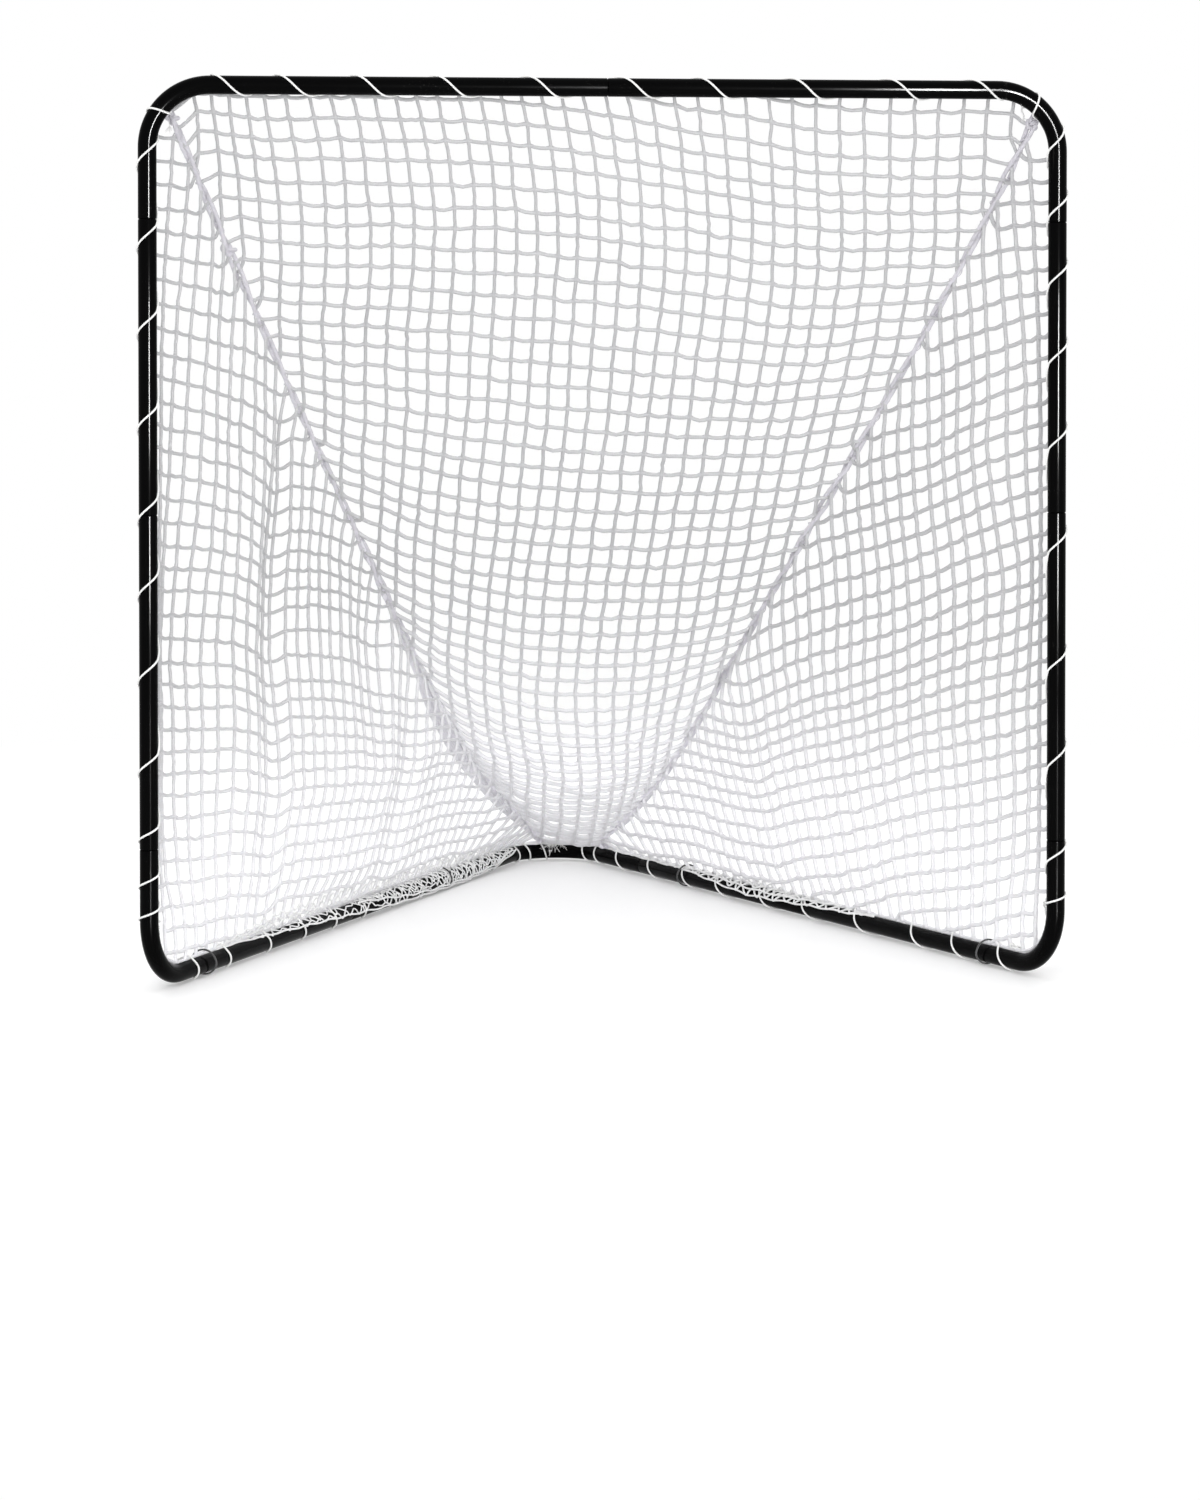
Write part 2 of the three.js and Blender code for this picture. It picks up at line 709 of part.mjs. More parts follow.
function addLacing(name, run, onFloor) {
  const line = winding(run);
  let geometry = cordGeometry(line, lacingRadius, lacingSides);
  if (onFloor) geometry = cut(geometry, [floorCutter()]);
  addPiece(name, geometry, cordWhite);
  console.log(`${name}: least gap to itself ${leastGap(line, lacingRadius).toFixed(2)} mm`);
}

function floorCutter() {
  const reach = mouthWidth * 2;
  const box = new THREE.BoxGeometry(reach, reach * 2, baseAxisHeight);
  box.translate(0, 0, -baseAxisHeight / 2);
  return box;
}

addLacing('lacing_crossbar', {
  rail: straightRail(vec(barFirstColumn + barPitch * (0.5 - passBehindBar), 0, barAxisHeight), vec(1, 0, 0)),
  netSide: backward,
  hand: 1,
  firstStep: turnSteps,
  lastStep: (2 * backColumns - 1) * turnSteps - 1,
  pitch: barPitch,
  netTurn: lacingNetTurn,
  slack: 0,
}, false);

for (const [word, side] of Object.entries(sideOf)) {
  const topGap = seamTopZ - bendMiddle + postPitch * (passOverNet - 0.5);
  addLacing(`lacing_post_${word}`, {
    rail: straightRail(postPoint(side, topGap), vec(0, 0, -1)),
    netSide: armWay(side),
    hand: 1,
    firstStep: turnSteps,
    lastStep: (sideColumns - 1) * turnSteps + 6,
    pitch: postPitch,
    netTurn: lacingNetTurn,
    slack: 0,
  }, false);
  addLacing(`lacing_base_${word}`, {
    rail: straightRail(armPoint(side, armLacingStart), armWay(side)),
    netSide: upward,
    hand: side,
    firstStep: turnSteps - 1,
    lastStep: (sideColumns - 1) * turnSteps + 3,
    pitch: armPitch,
    netTurn: lacingNetTurn,
    slack: 0,
  }, true);
}

// Tight turns round the rear bend, between the two seam ropes, over the bottom edge of the back panel
const rearTurns = 3;
const rearReach = Math.asin((apexHalfGap - ropeRadius * 2 - lacingRadius * 2) / bendRadius);
const rearPitch = (2 * rearReach * bendRadius) / rearTurns;
addLacing('lacing_rear', {
  rail: (distance) => {
    const angle = -rearReach + distance / bendRadius;
    const across = vec(Math.sin(angle), Math.cos(angle), 0);
    const centre = along(vec(0, rearCentreY, baseAxisHeight), across, bendRadius);
    return { centre, axis: vec(Math.cos(angle), -Math.sin(angle), 0) };
  },
  netSide: upward,
  hand: 1,
  firstStep: 0,
  lastStep: rearTurns * turnSteps,
  pitch: rearPitch,
  netTurn: tubeRadius + ropeLift + ropeRadius + twineReach * 2 + lacingRadius,
  slack: bendRadius * (1 - Math.cos(bendStepTurn / 2)),
}, true);

// Ball bungees: a loop round the base tube and the net's edge, both ends in the ball's bore
const bungeeTurn = tubeRadius + bungeeCordRadius * sectionCos + lacingClearance;
const bungeeNetTurn = borderOffset + twineReach + lacingClearance + bungeeCordRadius * sectionCos;
const bungeeStrandGap = bungeeCordRadius + lacingClearance / 2;
const ballPlace = bungeeNetTurn + bungeeCordRadius + lacingClearance + ballRadius;
const bungeePlace = (loop) => armLacingStart + (loop + advanceShares[4]) * armPitch;

function bungeeLine(side, distance) {
  const centre = armPoint(side, distance);
  const outward = armOut(side);
  const at = (out, up) => {
    const facing = outward.clone().multiplyScalar(out).addScaledVector(upward, up).normalize();
    return { point: along(along(centre, outward, out), upward, up), facing };
  };
  const exit = ballPlace - ballRadius;
  const line = [at(ballPlace, bungeeStrandGap), at(exit, bungeeStrandGap)];
  for (let step = 1; step < bungeeSteps; step += 1) {
    const angle = (step / bungeeSteps) * Math.PI * 2;
    const clearOfFloor = Math.min(1 + Math.sin(angle), 1);
    const radius = bungeeTurn + (bungeeNetTurn - bungeeTurn) * clearOfFloor;
    line.push(at(radius * Math.cos(angle), radius * Math.sin(angle)));
  }
  line.push(at(exit, -bungeeStrandGap), at(ballPlace, -bungeeStrandGap));
  return line;
}

function ballGeometry(side, distance) {
  const boreAngle = Math.asin(bungeeBoreRadius / ballRadius);
  const profile = [];
  for (let step = 0; step <= ballSteps; step += 1) {
    const angle = boreAngle + ((Math.PI - 2 * boreAngle) * step) / ballSteps;
    profile.push([ballRadius * Math.sin(angle), -ballRadius * Math.cos(angle)]);
  }
  profile.push([...profile[0]]);
  return turned(profile, ballSides, along(armPoint(side, distance), armOut(side), ballPlace), armOut(side));
}

for (const [word, side] of Object.entries(sideOf)) {
  for (const [place, loop] of Object.entries({ front: bungeeFrontLoop, rear: bungeeRearLoop })) {
    const distance = bungeePlace(loop);
    const cord = cordGeometry(bungeeLine(side, distance), bungeeCordRadius, lacingSides);
    addPiece(`bungee_cord_${place}_${word}`, cord, blackRubber);
    addPiece(`bungee_ball_${place}_${word}`, ballGeometry(side, distance), blackRubber);
  }
}

// The goal stands on the origin, in the middle of its footprint
const bounds = new THREE.Box3().setFromObject(goal);
const middle = bounds.getCenter(new THREE.Vector3());
goal.position.set(-middle.x, -middle.y, -bounds.min.z);

export default goal;
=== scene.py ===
import math
import bmesh
import bpy
import numpy as np
from functools import partial
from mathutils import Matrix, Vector


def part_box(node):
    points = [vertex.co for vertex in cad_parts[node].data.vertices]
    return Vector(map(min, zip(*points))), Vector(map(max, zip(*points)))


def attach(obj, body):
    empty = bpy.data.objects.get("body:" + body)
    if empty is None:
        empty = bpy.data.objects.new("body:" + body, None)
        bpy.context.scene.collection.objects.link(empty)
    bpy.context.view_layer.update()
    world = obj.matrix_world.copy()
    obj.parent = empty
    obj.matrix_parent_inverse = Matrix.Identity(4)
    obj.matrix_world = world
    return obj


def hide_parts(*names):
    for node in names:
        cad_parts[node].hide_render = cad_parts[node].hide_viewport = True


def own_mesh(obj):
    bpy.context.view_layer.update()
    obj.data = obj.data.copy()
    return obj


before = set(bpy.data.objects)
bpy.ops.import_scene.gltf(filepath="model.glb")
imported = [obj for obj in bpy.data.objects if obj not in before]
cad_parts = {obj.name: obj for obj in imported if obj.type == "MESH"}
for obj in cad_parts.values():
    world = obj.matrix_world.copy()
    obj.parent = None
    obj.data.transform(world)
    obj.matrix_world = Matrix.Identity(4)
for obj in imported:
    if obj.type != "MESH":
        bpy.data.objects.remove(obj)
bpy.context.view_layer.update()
chance = np.random.default_rng(41)
print("frame loaded")

# The line of the frame, in metres, as the solids have it
goal = {
    "halfMouth": 0.9335,
    "barHeight": 1.848,
    "baseHeight": 0.024125,
    "bendRadius": 0.127,
    "armLength": 1.947,
    "tubeRadius": 0.019,
    "tubeWall": 0.0015,
    "edgeOffset": 0.0233,  # from a tube's axis to the border of the net
}
halfMouth, barHeight, baseHeight, bendRadius, armLength, tubeRadius, tubeWall, edgeOffset = goal.values()
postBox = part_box("post_upper_left")
postY = (postBox[0].y + postBox[1].y) / 2
# An arm and its half of the rear bend use up half of the mouth's width
armAngle = math.asin(halfMouth / math.hypot(armLength, bendRadius)) - math.atan2(bendRadius, armLength)
armSin, armCos = math.sin(armAngle), math.cos(armAngle)
rearCentreY = postY + armLength * armCos - bendRadius * armSin
bendTurn = math.pi / 2 - armAngle  # half of the angle that the rear bend turns through
rearMiddle = armLength + bendTurn * bendRadius  # from a post along the rim to the middle of the rear bend
sideWords = {"left": -1, "right": 1}
fullTurn = 2 * math.pi
up = np.array([0.0, 0.0, 1.0])
back = np.array([0.0, 1.0, 0.0])
leastLength = 1e-12  # keeps a vector of no length from being divided by 0


def unit(vectors):
    # Each vector divided by its length
    return vectors / np.maximum(np.linalg.norm(vectors, axis=-1, keepdims=True), leastLength)


def crossways(way, along):
    # A direction less its part along another
    return unit(way - along * np.sum(way * along, axis=-1, keepdims=True))


def columns(*parts):
    # Numbers side by side in the last axis
    return np.stack(np.broadcast_arrays(*parts), axis=-1)


def lengthAlong(line):
    # The steps between the points, added up from 0
    return np.concatenate([[0], np.cumsum(np.linalg.norm(np.diff(line, axis=0), axis=1))])


def between(places, known, values):
    # Whole tables of values, blended straight between the places at which they're known
    values = np.asarray(values, float)
    spot = np.clip(np.searchsorted(known, places) - 1, 0, len(known) - 2)
    part = np.clip((places - np.take(known, spot)) / np.diff(known)[spot], 0, 1)
    return values[spot] * (1 - part)[:, None] + values[spot + 1] * part[:, None]


def ramp(value, end):
    # 0 at nothing, 1 at the end and past it, and straight in between
    return np.clip(value / end, 0, 1)


def armWay(side):
    # Along an arm from its post: the way back, turned towards the middle by the arm's angle
    return np.array([-side * armSin, armCos, 0.0])


def armOut(side):
    # Level and square to an arm, away from the goal
    return np.array([side * armCos, armSin, 0.0])


def postPoint(side, height):
    # A point on a post's axis
    return np.array([side * halfMouth, postY, height])


def armPoint(side, distance):
    # A point on an arm's axis
    return postPoint(side, baseHeight) + armWay(side) * distance


def rimPoint(side, distance):
    # Along an arm's axis and on round the rear bend; also the way from the axis to the mouth's side
    onArm = armPoint(side, 0) + np.minimum(distance, armLength)[:, None] * armWay(side)
    angle = side * (bendTurn - np.maximum(distance - armLength, 0) / bendRadius)
    onBend = columns(bendRadius * np.sin(angle), rearCentreY + bendRadius * np.cos(angle), baseHeight)
    inward = -columns(np.sin(angle), np.cos(angle), 0.0)
    return np.where((distance > armLength)[:, None], onBend, onArm), inward


# Meshes

cordTip = 0.4  # how far a cord's ends stand out, as a share of its radius
weldReach = 1e-6  # metres within which points become one
leastEdge = 1e-7
steepFrom = 0.9  # of an axis of length 1: how much of it points up or down where it's taken as upright
noTriangles = np.zeros((0, 3), int)


def circle(sides, first, second):
    # Round a circle of radius 1: cos(a) * first + sin(a) * second
    angle = (np.arange(sides) / sides * fullTurn)[None, :, None]
    return np.cos(angle) * first + np.sin(angle) * second


def gridQuads(rows, across, closed=False):
    # Corner numbers of the quads of a grid of points that is wrapped round, and closed end to end where asked
    row = np.arange(rows if closed else rows - 1)[:, None]
    col = np.arange(across)[None, :]
    nextRow, nextCol = (row + 1) % rows, (col + 1) % across
    corners = (row * across + col, row * across + nextCol, nextRow * across + nextCol, nextRow * across + col)
    return columns(*corners).reshape(-1, 4)


def meshPiece(name, points, quads, triangles=noTriangles, uv=None, sharpAngle=None):
    # A mesh from whole arrays: its points, the corners of its quads and triangles, and for each corner a place
    # on the UV map
    mesh = bpy.data.meshes.new(name)
    corners = np.concatenate([quads.ravel(), triangles.ravel()]).astype(np.int32)
    starts = np.concatenate([np.arange(len(quads)) * 4, len(quads) * 4 + np.arange(len(triangles)) * 3])
    mesh.vertices.add(len(points))
    mesh.vertices.foreach_set("co", np.asarray(points, np.float32).ravel())
    mesh.loops.add(len(corners))
    mesh.loops.foreach_set("vertex_index", corners)
    mesh.polygons.add(len(starts))
    mesh.polygons.foreach_set("loop_start", starts.astype(np.int32))
    mesh.update(calc_edges=True)
    if uv is None:
        uv = np.zeros((len(corners), 2))
    mesh.uv_layers.new(name="along").data.foreach_set("uv", uv.astype(np.float32).ravel())
    mesh.shade_smooth()
    if sharpAngle:
        mesh.set_sharp_from_angle(angle=sharpAngle)
    piece = bpy.data.objects.new(name, mesh)
    bpy.context.scene.collection.objects.link(piece)
    return piece


def dress(piece, finish, slotName, *replaced, body="frame"):
    # The piece's material, its body and the solids that it stands for; slotName is not used
    piece.data.materials.clear()
    piece.data.materials.append(finish)
    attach(piece, body)
    if replaced:
        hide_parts(*replaced)


class Skein:
    # Any number of cords in one mesh. A cord is a ring of points carried along a line:
    # the ring's point at angle a is line + cos(a) * radius * facing + sin(a) * radius * (tangent x facing)
    def __init__(self):
        self.points, self.quads, self.triangles, self.quadUv, self.capUv = [], [], [], [], []
        self.count = 0

    def add(self, line, facing, radius, sides, floor=None):
        line = np.asarray(line, float)
        tangent = unit(np.gradient(line, axis=0))
        normal = crossways(np.broadcast_to(facing, line.shape), tangent)
        radius = np.broadcast_to(radius, len(line))[:, None]
        ring = circle(sides, normal[:, None], np.cross(tangent, normal)[:, None])
        rings = line[:, None] + ring * radius[:, None]
        standOut = tangent * radius * cordTip
        tips = np.stack([line[0] - standOut[0], line[-1] + standOut[-1]])
        points = np.concatenate([rings.reshape(-1, 3), tips])
        if floor is not None:
            points[:, 2] = np.maximum(points[:, 2], floor)
        side = np.arange(sides)
        after, last, tip = (side + 1) % sides, (len(line) - 1) * sides, len(line) * sides
        caps = np.concatenate([columns(tip, after, side), columns(tip + 1, last + side, last + after)])
        travelled = lengthAlong(line)
        low, turn = np.meshgrid(travelled[:-1], side / sides, indexing="ij")
        high, step = np.broadcast_to(travelled[1:, None], low.shape), 1 / sides
        corners = (columns(turn, low), columns(turn + step, low), columns(turn + step, high), columns(turn, high))
        capUv = np.zeros((2, sides, 3, 2))
        capUv[..., 0] = (side / sides)[:, None]
        capUv[1, ..., 1] = travelled[-1]
        self.points.append(points)
        self.quads.append(gridQuads(len(line), sides) + self.count)
        self.triangles.append(caps + self.count)
        self.quadUv.append(np.stack(corners, axis=2).reshape(-1, 2))
        self.capUv.append(capUv.reshape(-1, 2))
        self.count += len(points)

    def piece(self, name):
        points, quads, triangles = (np.concatenate(part) for part in (self.points, self.quads, self.triangles))
        return meshPiece(name, points, quads, triangles, np.concatenate(self.quadUv + self.capUv))


def curveThrough(knots, steps):
    # A smooth line through the knots: each span is a cubic set by its two ends and their neighbours
    knots = np.asarray(knots, float)
    if len(knots) == 2:
        share = np.linspace(0, 1, steps + 1)[:, None]
        return knots[0] * (1 - share) + knots[1] * share
    padded = np.concatenate([[2 * knots[0] - knots[1]], knots, [2 * knots[-1] - knots[-2]]])
    a, b, c, d = padded[:-3, None], padded[1:-2, None], padded[2:-1, None], padded[3:, None]
    t = (np.arange(steps) / steps)[None, :, None]
    spans = 0.5 * (2 * b + (c - a) * t + (2 * a - 5 * b + 4 * c - d) * t ** 2 + (3 * b - a - 3 * c + d) * t ** 3)
    return np.concatenate([spans.reshape(-1, 3), knots[-1:]])


# Materials

class Flow:
    # A socket that can be added, multiplied and so on, with a Math node for each sign
    def __init__(self, wiring, socket):
        self.wiring, self.socket = wiring, socket

    def math(self, operation, *others):
        return self.wiring.node("ShaderNodeMath", {"operation": operation}, dict(enumerate((self, *others))))

    def __add__(self, other):
        return self.math("ADD", other)

    __radd__ = __add__

    def __mul__(self, other):
        return self.math("MULTIPLY", other)

    __rmul__ = __mul__

    def __sub__(self, other):
        return self.math("SUBTRACT", other)

    def __rsub__(self, other):
        return self * -1 + other

    def sine(self):
        return self.math("SINE")

    def fromTo(self, low, high):
        # 0 below low, 1 above high, and smooth between them
        inputs = {"Value": self, "From Min": low, "From Max": high}
        return self.wiring.node("ShaderNodeMapRange", {"interpolation_type": "SMOOTHSTEP"}, inputs)


class Wiring:
    # The nodes of one material, or of the world
    def __init__(self, owner, outputKind):
        owner.use_nodes = True
        self.tree = owner.node_tree
        self.tree.nodes.clear()
        self.surface = self.tree.nodes.new(outputKind).inputs["Surface"]

    def node(self, kind, settings, inputs, output=0):
        node = self.tree.nodes.new(kind)
        for key, value in settings.items():
            setattr(node, key, value)
        for key, value in inputs.items():
            self.set(node.inputs[key], value)
        return Flow(self, node.outputs[output])

    def set(self, socket, value):
        if isinstance(value, Flow):
            self.tree.links.new(value.socket, socket)
        else:
            socket.default_value = value

    def seen(self):
        # 1 for what the camera sees straight, in a gloss or through glass, and 0 for the light that falls on
        # things
        straight, inGloss, inGlass = (self.node("ShaderNodeLightPath", {}, {}, f"Is {kind} Ray")
                                      for kind in ("Camera", "Glossy", "Transmission"))
        return straight.math("MAXIMUM", inGloss).math("MAXIMUM", inGlass)


class Finish(Wiring):
    # A material with one Principled shader
    sockets = {"baseColour": "Base Color", "specular": "Specular IOR Level", "ior": "IOR",
               "sheen": "Sheen Weight", "sheenRoughness": "Sheen Roughness"}

    def __init__(self, name):
        self.material = bpy.data.materials.new(name)
        super().__init__(self.material, "ShaderNodeOutputMaterial")
        self.shader = self.node("ShaderNodeBsdfPrincipled", {}, {})
        self.set(self.surface, self.shader)
        self.coordinates = self.node("ShaderNodeTexCoord", {}, {}).socket.node.outputs

    def place(self, kind="Object"):
        return Flow(self, self.coordinates[kind])

    def split(self, vector):
        # The three numbers of a vector
        first = self.node("ShaderNodeSeparateXYZ", {}, {0: vector})
        return [Flow(self, socket) for socket in first.socket.node.outputs]

    def noise(self, scale, detail, low=None, high=None, stretch=None):
        # Noise over the object; with two levels it's 0 below the low one and 1 above the high one
        place = self.place()
        if stretch:
            place = self.node("ShaderNodeMapping", {}, {"Vector": place, "Scale": stretch})
        grain = self.node("ShaderNodeTexNoise", {}, {"Vector": place, "Scale": scale, "Detail": detail})
        return grain if low is None else grain.fromTo(low, high)

    def blendColours(self, factor, first, second):
        first, second = (mix if isinstance(mix, Flow) else (*mix, 1.0) for mix in (first, second))
        return self.node("ShaderNodeMix", {"data_type": "RGBA"}, {0: factor, 6: first, 7: second}, 2)

    def bump(self, height, distance):
        return self.node("ShaderNodeBump", {}, {"Height": height, "Distance": distance, "Strength": 1.0})

    def feed(self, **values):
        for key, value in values.items():
            self.set(self.shader.socket.node.inputs[self.sockets.get(key, key.capitalize())], value)
        return self.material


def shaded(mix, share):
    # A colour made darker or lighter by one share
    return tuple(value * share for value in mix)


# In each look a noise is its scale and detail, and where more is given, its two levels and its stretch
paintLook = {
    "black": (0.0012, 0.0012, 0.0013),
    "dust": (0.035, 0.034, 0.032),
    "specular": 0.25,
    "ior": 1.13,
    "roughness": 0.12,
    "smudgeRoughness": 0.03,
    "wearRoughness": 0.3,
    "orangePeel": 0.000004,
    "speckShare": 0.5,
    "scuffShare": 0.35,
    "peel": (900.0, 1.0),
    "smudges": (7.0, 4.0, 0.35, 0.7),
    "specks": (420.0, 0.0, 0.74, 0.80),
    "speckPatches": (16.0, 2.0, 0.5, 0.72),
    "scuffs": (60.0, 3.0, 0.66, 0.74, (1.0, 1.0, 0.12)),
    "scuffPatches": (5.0, 2.0, 0.55, 0.75),
}


def paintedTube():
    # Black, with dust where a fine and a coarse noise are both high, as specks and as long scuffs
    finish, look = Finish("gloss_black_powder_coat"), paintLook
    specks = finish.noise(*look["specks"]) * finish.noise(*look["speckPatches"])
    scuffs = finish.noise(*look["scuffs"]) * look["scuffShare"]
    wear = specks * look["speckShare"] + scuffs * finish.noise(*look["scuffPatches"])
    smudges = finish.noise(*look["smudges"])
    return finish.feed(
        baseColour=finish.blendColours(wear, look["black"], look["dust"]),
        roughness=smudges * look["smudgeRoughness"] + wear * look["wearRoughness"] + look["roughness"],
        specular=look["specular"],
        ior=look["ior"],
        normal=finish.bump(finish.noise(*look["peel"]), look["orangePeel"]),
    )


metalLooks = {
    "chromed_button": {"tints": ((0.83, 0.84, 0.85), (0.66, 0.67, 0.69)), "cloud": (380.0, 2.0, 0.45, 0.7),
                       "rub": (1500.0, 3.0), "rubLevels": (0.35, 0.65), "rubRoughness": 0.12, "roughness": 0.08},
    "spring_steel": {"tints": ((0.42, 0.43, 0.46), (0.56, 0.56, 0.57)), "cloud": (45.0, 2.0),
                     "rub": (700.0, 4.0, None, None, (1.0, 1.0, 0.05)), "rubLevels": (0.3, 0.7),
                     "rubRoughness": 0.15, "roughness": 0.28, "relief": 0.00002},
}


def metal(name):
    # Two tints in a cloudy mix, rubbed to and fro; the rubbing also lifts the surface where it has a relief
    finish, look = Finish(name), metalLooks[name]
    rub = finish.noise(*look["rub"])
    if "relief" in look:
        finish.feed(normal=finish.bump(rub, look["relief"]))
    return finish.feed(
        baseColour=finish.blendColours(finish.noise(*look["cloud"]), *look["tints"]),
        metallic=1.0,
        roughness=rub.fromTo(*look["rubLevels"]) * look["rubRoughness"] + look["roughness"],
    )


def ridges(finish, strands, lay, way):
    # The sine of the turns round the cord and the lays along it, so that its ridges wind round
    turn, travelled, _ = finish.split(finish.place("UV"))
    return (turn * (strands * fullTurn) + travelled * (way * fullTurn / lay)).sine()


def braid(finish, strands, lay):
    # Two sets of ridges that wind opposite ways and cross like a braid's carriers
    return ridges(finish, strands, lay, 1) * ridges(finish, strands, lay, -1) * 0.5 + 0.5


def twisted(finish, strands, lay):
    # One set of ridges, as laid strands have
    return ridges(finish, strands, lay, 1) * 0.5 + 0.5


cordLook = {
    "roughness": 0.74,
    "fuzzRoughness": 0.12,
    "fuzzRelief": 0.35,
    "specular": 0.25,
    "sheen": 0.25,
    "sheenRoughness": 0.5,
    "fuzz": (2600.0, 2.0),
    "soil": (5.5, 3.0, 0.35, 0.7),
    # the share of the pale colour kept in the hollows of the lay, as painted shade
    "paleHollowShade": 0.86,
    # Painted light: levels between which the cord turns pale going down, depth towards the rear counting as lower
    "fade": {"from": 0.70, "to": -0.02, "depthShare": -0.2, "front": 0.93},
}
# In each look the hollows of the lay are darkened by a share, as painted shade
textileLooks = {
    "net_twine": {"lay": (braid, 4, 0.011), "relief": 0.0004, "hollowShade": 0.35, "soil": 0.25,
                  "light": (0.465, 0.465, 0.475), "dark": (0.37, 0.37, 0.385), "pale": (0.74, 0.735, 0.76)},
    # The hems' twine is the net's own twine painted near white, as painted light low down on the base tubes
    "washed_twine": {"lay": (braid, 4, 0.011), "relief": 0.0003, "hollowShade": 0.3, "soil": 0.15,
                     "light": (0.86, 0.86, 0.86), "dark": (0.70, 0.70, 0.70)},
    "seam_cord": {"lay": (twisted, 3, 0.016), "relief": 0.0005, "hollowShade": 0.35, "soil": 0.25,
                  "light": (0.56, 0.545, 0.59), "dark": (0.46, 0.445, 0.49), "pale": (0.76, 0.74, 0.80)},
    # The gathered twine is the net's own twine painted paler, as painted light on the lower half of the seams
    "gathered_twine": {"lay": (braid, 4, 0.011), "relief": 0.0003, "hollowShade": 0.2, "soil": 0.15,
                       "light": (0.74, 0.725, 0.775), "dark": (0.64, 0.625, 0.675), "pale": (0.80, 0.79, 0.83)},
    "white_lacing": {"lay": (braid, 6, 0.0095), "relief": 0.0003, "hollowShade": 0.4, "soil": 0.15,
                     "light": (0.86, 0.86, 0.85), "dark": (0.66, 0.66, 0.65)},
    "elastic_cord": {"lay": (braid, 6, 0.005), "relief": 0.0002, "hollowShade": 0.5, "soil": 0.2,
                     "light": (0.018, 0.018, 0.02), "dark": (0.006, 0.006, 0.007)},
}


def textile(name):
    # Dark in the hollows of the lay, as painted shade, and in soiled patches. Where it's low, and lower
    # still towards the rear, the cord is painted a pale colour, as painted light
    finish, look = Finish(name), textileLooks[name]
    make, strands, lay = look["lay"]
    crests, fuzz = make(finish, strands, lay), finish.noise(*cordLook["fuzz"])
    # Painted shade: the hollows of the lay are darker
    hollowShade = (1 - crests) * look["hollowShade"]
    # Soil in patches, added to the painted shade of the hollows
    soilAndShade = finish.noise(*cordLook["soil"]) * look["soil"] + hollowShade
    base = finish.blendColours(soilAndShade, look["light"], look["dark"])
    if "pale" in look:
        # Painted light: the cord is painted pale low down and towards the rear, with painted shade in its hollows
        fade = cordLook["fade"]
        _, depth, height = finish.split(finish.place())
        level = (depth + fade["front"]) * fade["depthShare"] + height
        paleLit = finish.blendColours(hollowShade, look["pale"], shaded(look["pale"], cordLook["paleHollowShade"]))
        base = finish.blendColours(level.fromTo(fade["to"], fade["from"]), paleLit, base)
    return finish.feed(
        baseColour=base,
        roughness=fuzz * cordLook["fuzzRoughness"] + cordLook["roughness"],
        specular=cordLook["specular"],
        sheen=cordLook["sheen"],
        sheenRoughness=cordLook["sheenRoughness"],
        normal=finish.bump(crests + fuzz * cordLook["fuzzRelief"], look["relief"]),
    )


ballLook = {"black": (0.008, 0.008, 0.009), "cloudShade": 1.9, "cloud": (60.0, 2.0), "grain": (1300.0, 3.0),
            "roughness": 0.26, "grainRoughness": 0.1, "relief": 0.00001}


def mouldedBall():
    # A black and a lighter black in a cloudy mix, with a fine grain
    finish, look = Finish("ball_plastic"), ballLook
    grain = finish.noise(*look["grain"])
    return finish.feed(
        baseColour=finish.blendColours(finish.noise(*look["cloud"]), look["black"],
                                       shaded(look["black"], look["cloudShade"])),
        roughness=grain * look["grainRoughness"] + look["roughness"],
        normal=finish.bump(grain, look["relief"]),
    )


paint, ballPlastic = paintedTube(), mouldedBall()
chrome, steel = metal("chromed_button"), metal("spring_steel")
netTwine, paleLitTwine, seamCord, gatheredTwine, whiteLacing, elasticCord = map(textile, textileLooks)
print("materials made")


# Tubes: outside and bore in one closed surface, with swaged male ends and a drilled hole at each button

tube = {
    "sides": 48,
    "bendSteps": 28,
    "cornerShortLeg": 0.290,
    "cornerBaseLeg": 0.969,
    "postUpperLength": 0.602,
    "baseRearLength": 0.763,
    "maleRadius": 0.0172,
    "maleLength": 0.070,
    "swageLength": 0.003,
    "seamGap": 0.0003,
    "swageSteps": 7,
    "lipRadius": 0.0005,
    "lipSteps": 5,
    "leastWall": 0.6,  # of the full wall
    "sharpFrom": math.radians(40),
    "buttonInset": 0.030,
    "holeRadius": 0.0046,
    "holeSides": 36,
    "holeReach": (0.004, 0.026),  # from the axis outwards
}
joinOffset = tube["seamGap"] + tube["swageLength"]


def bentRoute(start, corner, end):
    # A straight run, an arc of the bend radius that touches both runs, and the second run
    if corner is None:
        return np.stack([start, end])
    first, second = unit(corner - start), unit(end - corner)
    turn = math.acos(float(first @ second))
    bendStart = corner - first * bendRadius * math.tan(turn / 2)
    inward = crossways(second, first)
    angle = np.linspace(0, turn, tube["bendSteps"])[:, None]
    arc = bendStart + first * bendRadius * np.sin(angle) + inward * bendRadius * (1 - np.cos(angle))
    return np.concatenate([[start], arc, [end]])


def endStations(point, outward, male):
    # Stations at a tube's end, from the body outwards: a lip rounded as a quarter circle, or a swage that narrows
    # as half a cosine wave, and a male end
    lip, neck = tube["lipRadius"], tube["maleRadius"]
    if male:
        share = np.linspace(0, 1, tube["swageSteps"])[1:]
        shift = np.concatenate([share * tube["swageLength"], [tube["maleLength"] - lip, tube["maleLength"]]])
        swage = tubeRadius + (neck - tubeRadius) * (0.5 - 0.5 * np.cos(np.pi * share))
        radius = np.concatenate([swage, [neck, neck - lip]])
        bore = radius - tubeWall
    else:
        turn = np.linspace(0, np.pi / 2, tube["lipSteps"])[1:]
        shift = lip * np.sin(turn) - lip
        radius = tubeRadius - lip + lip * np.cos(turn)
        bore = np.minimum(radius - 2 * lip, tubeRadius - tubeWall)
    return point + outward * shift[:, None], radius, bore


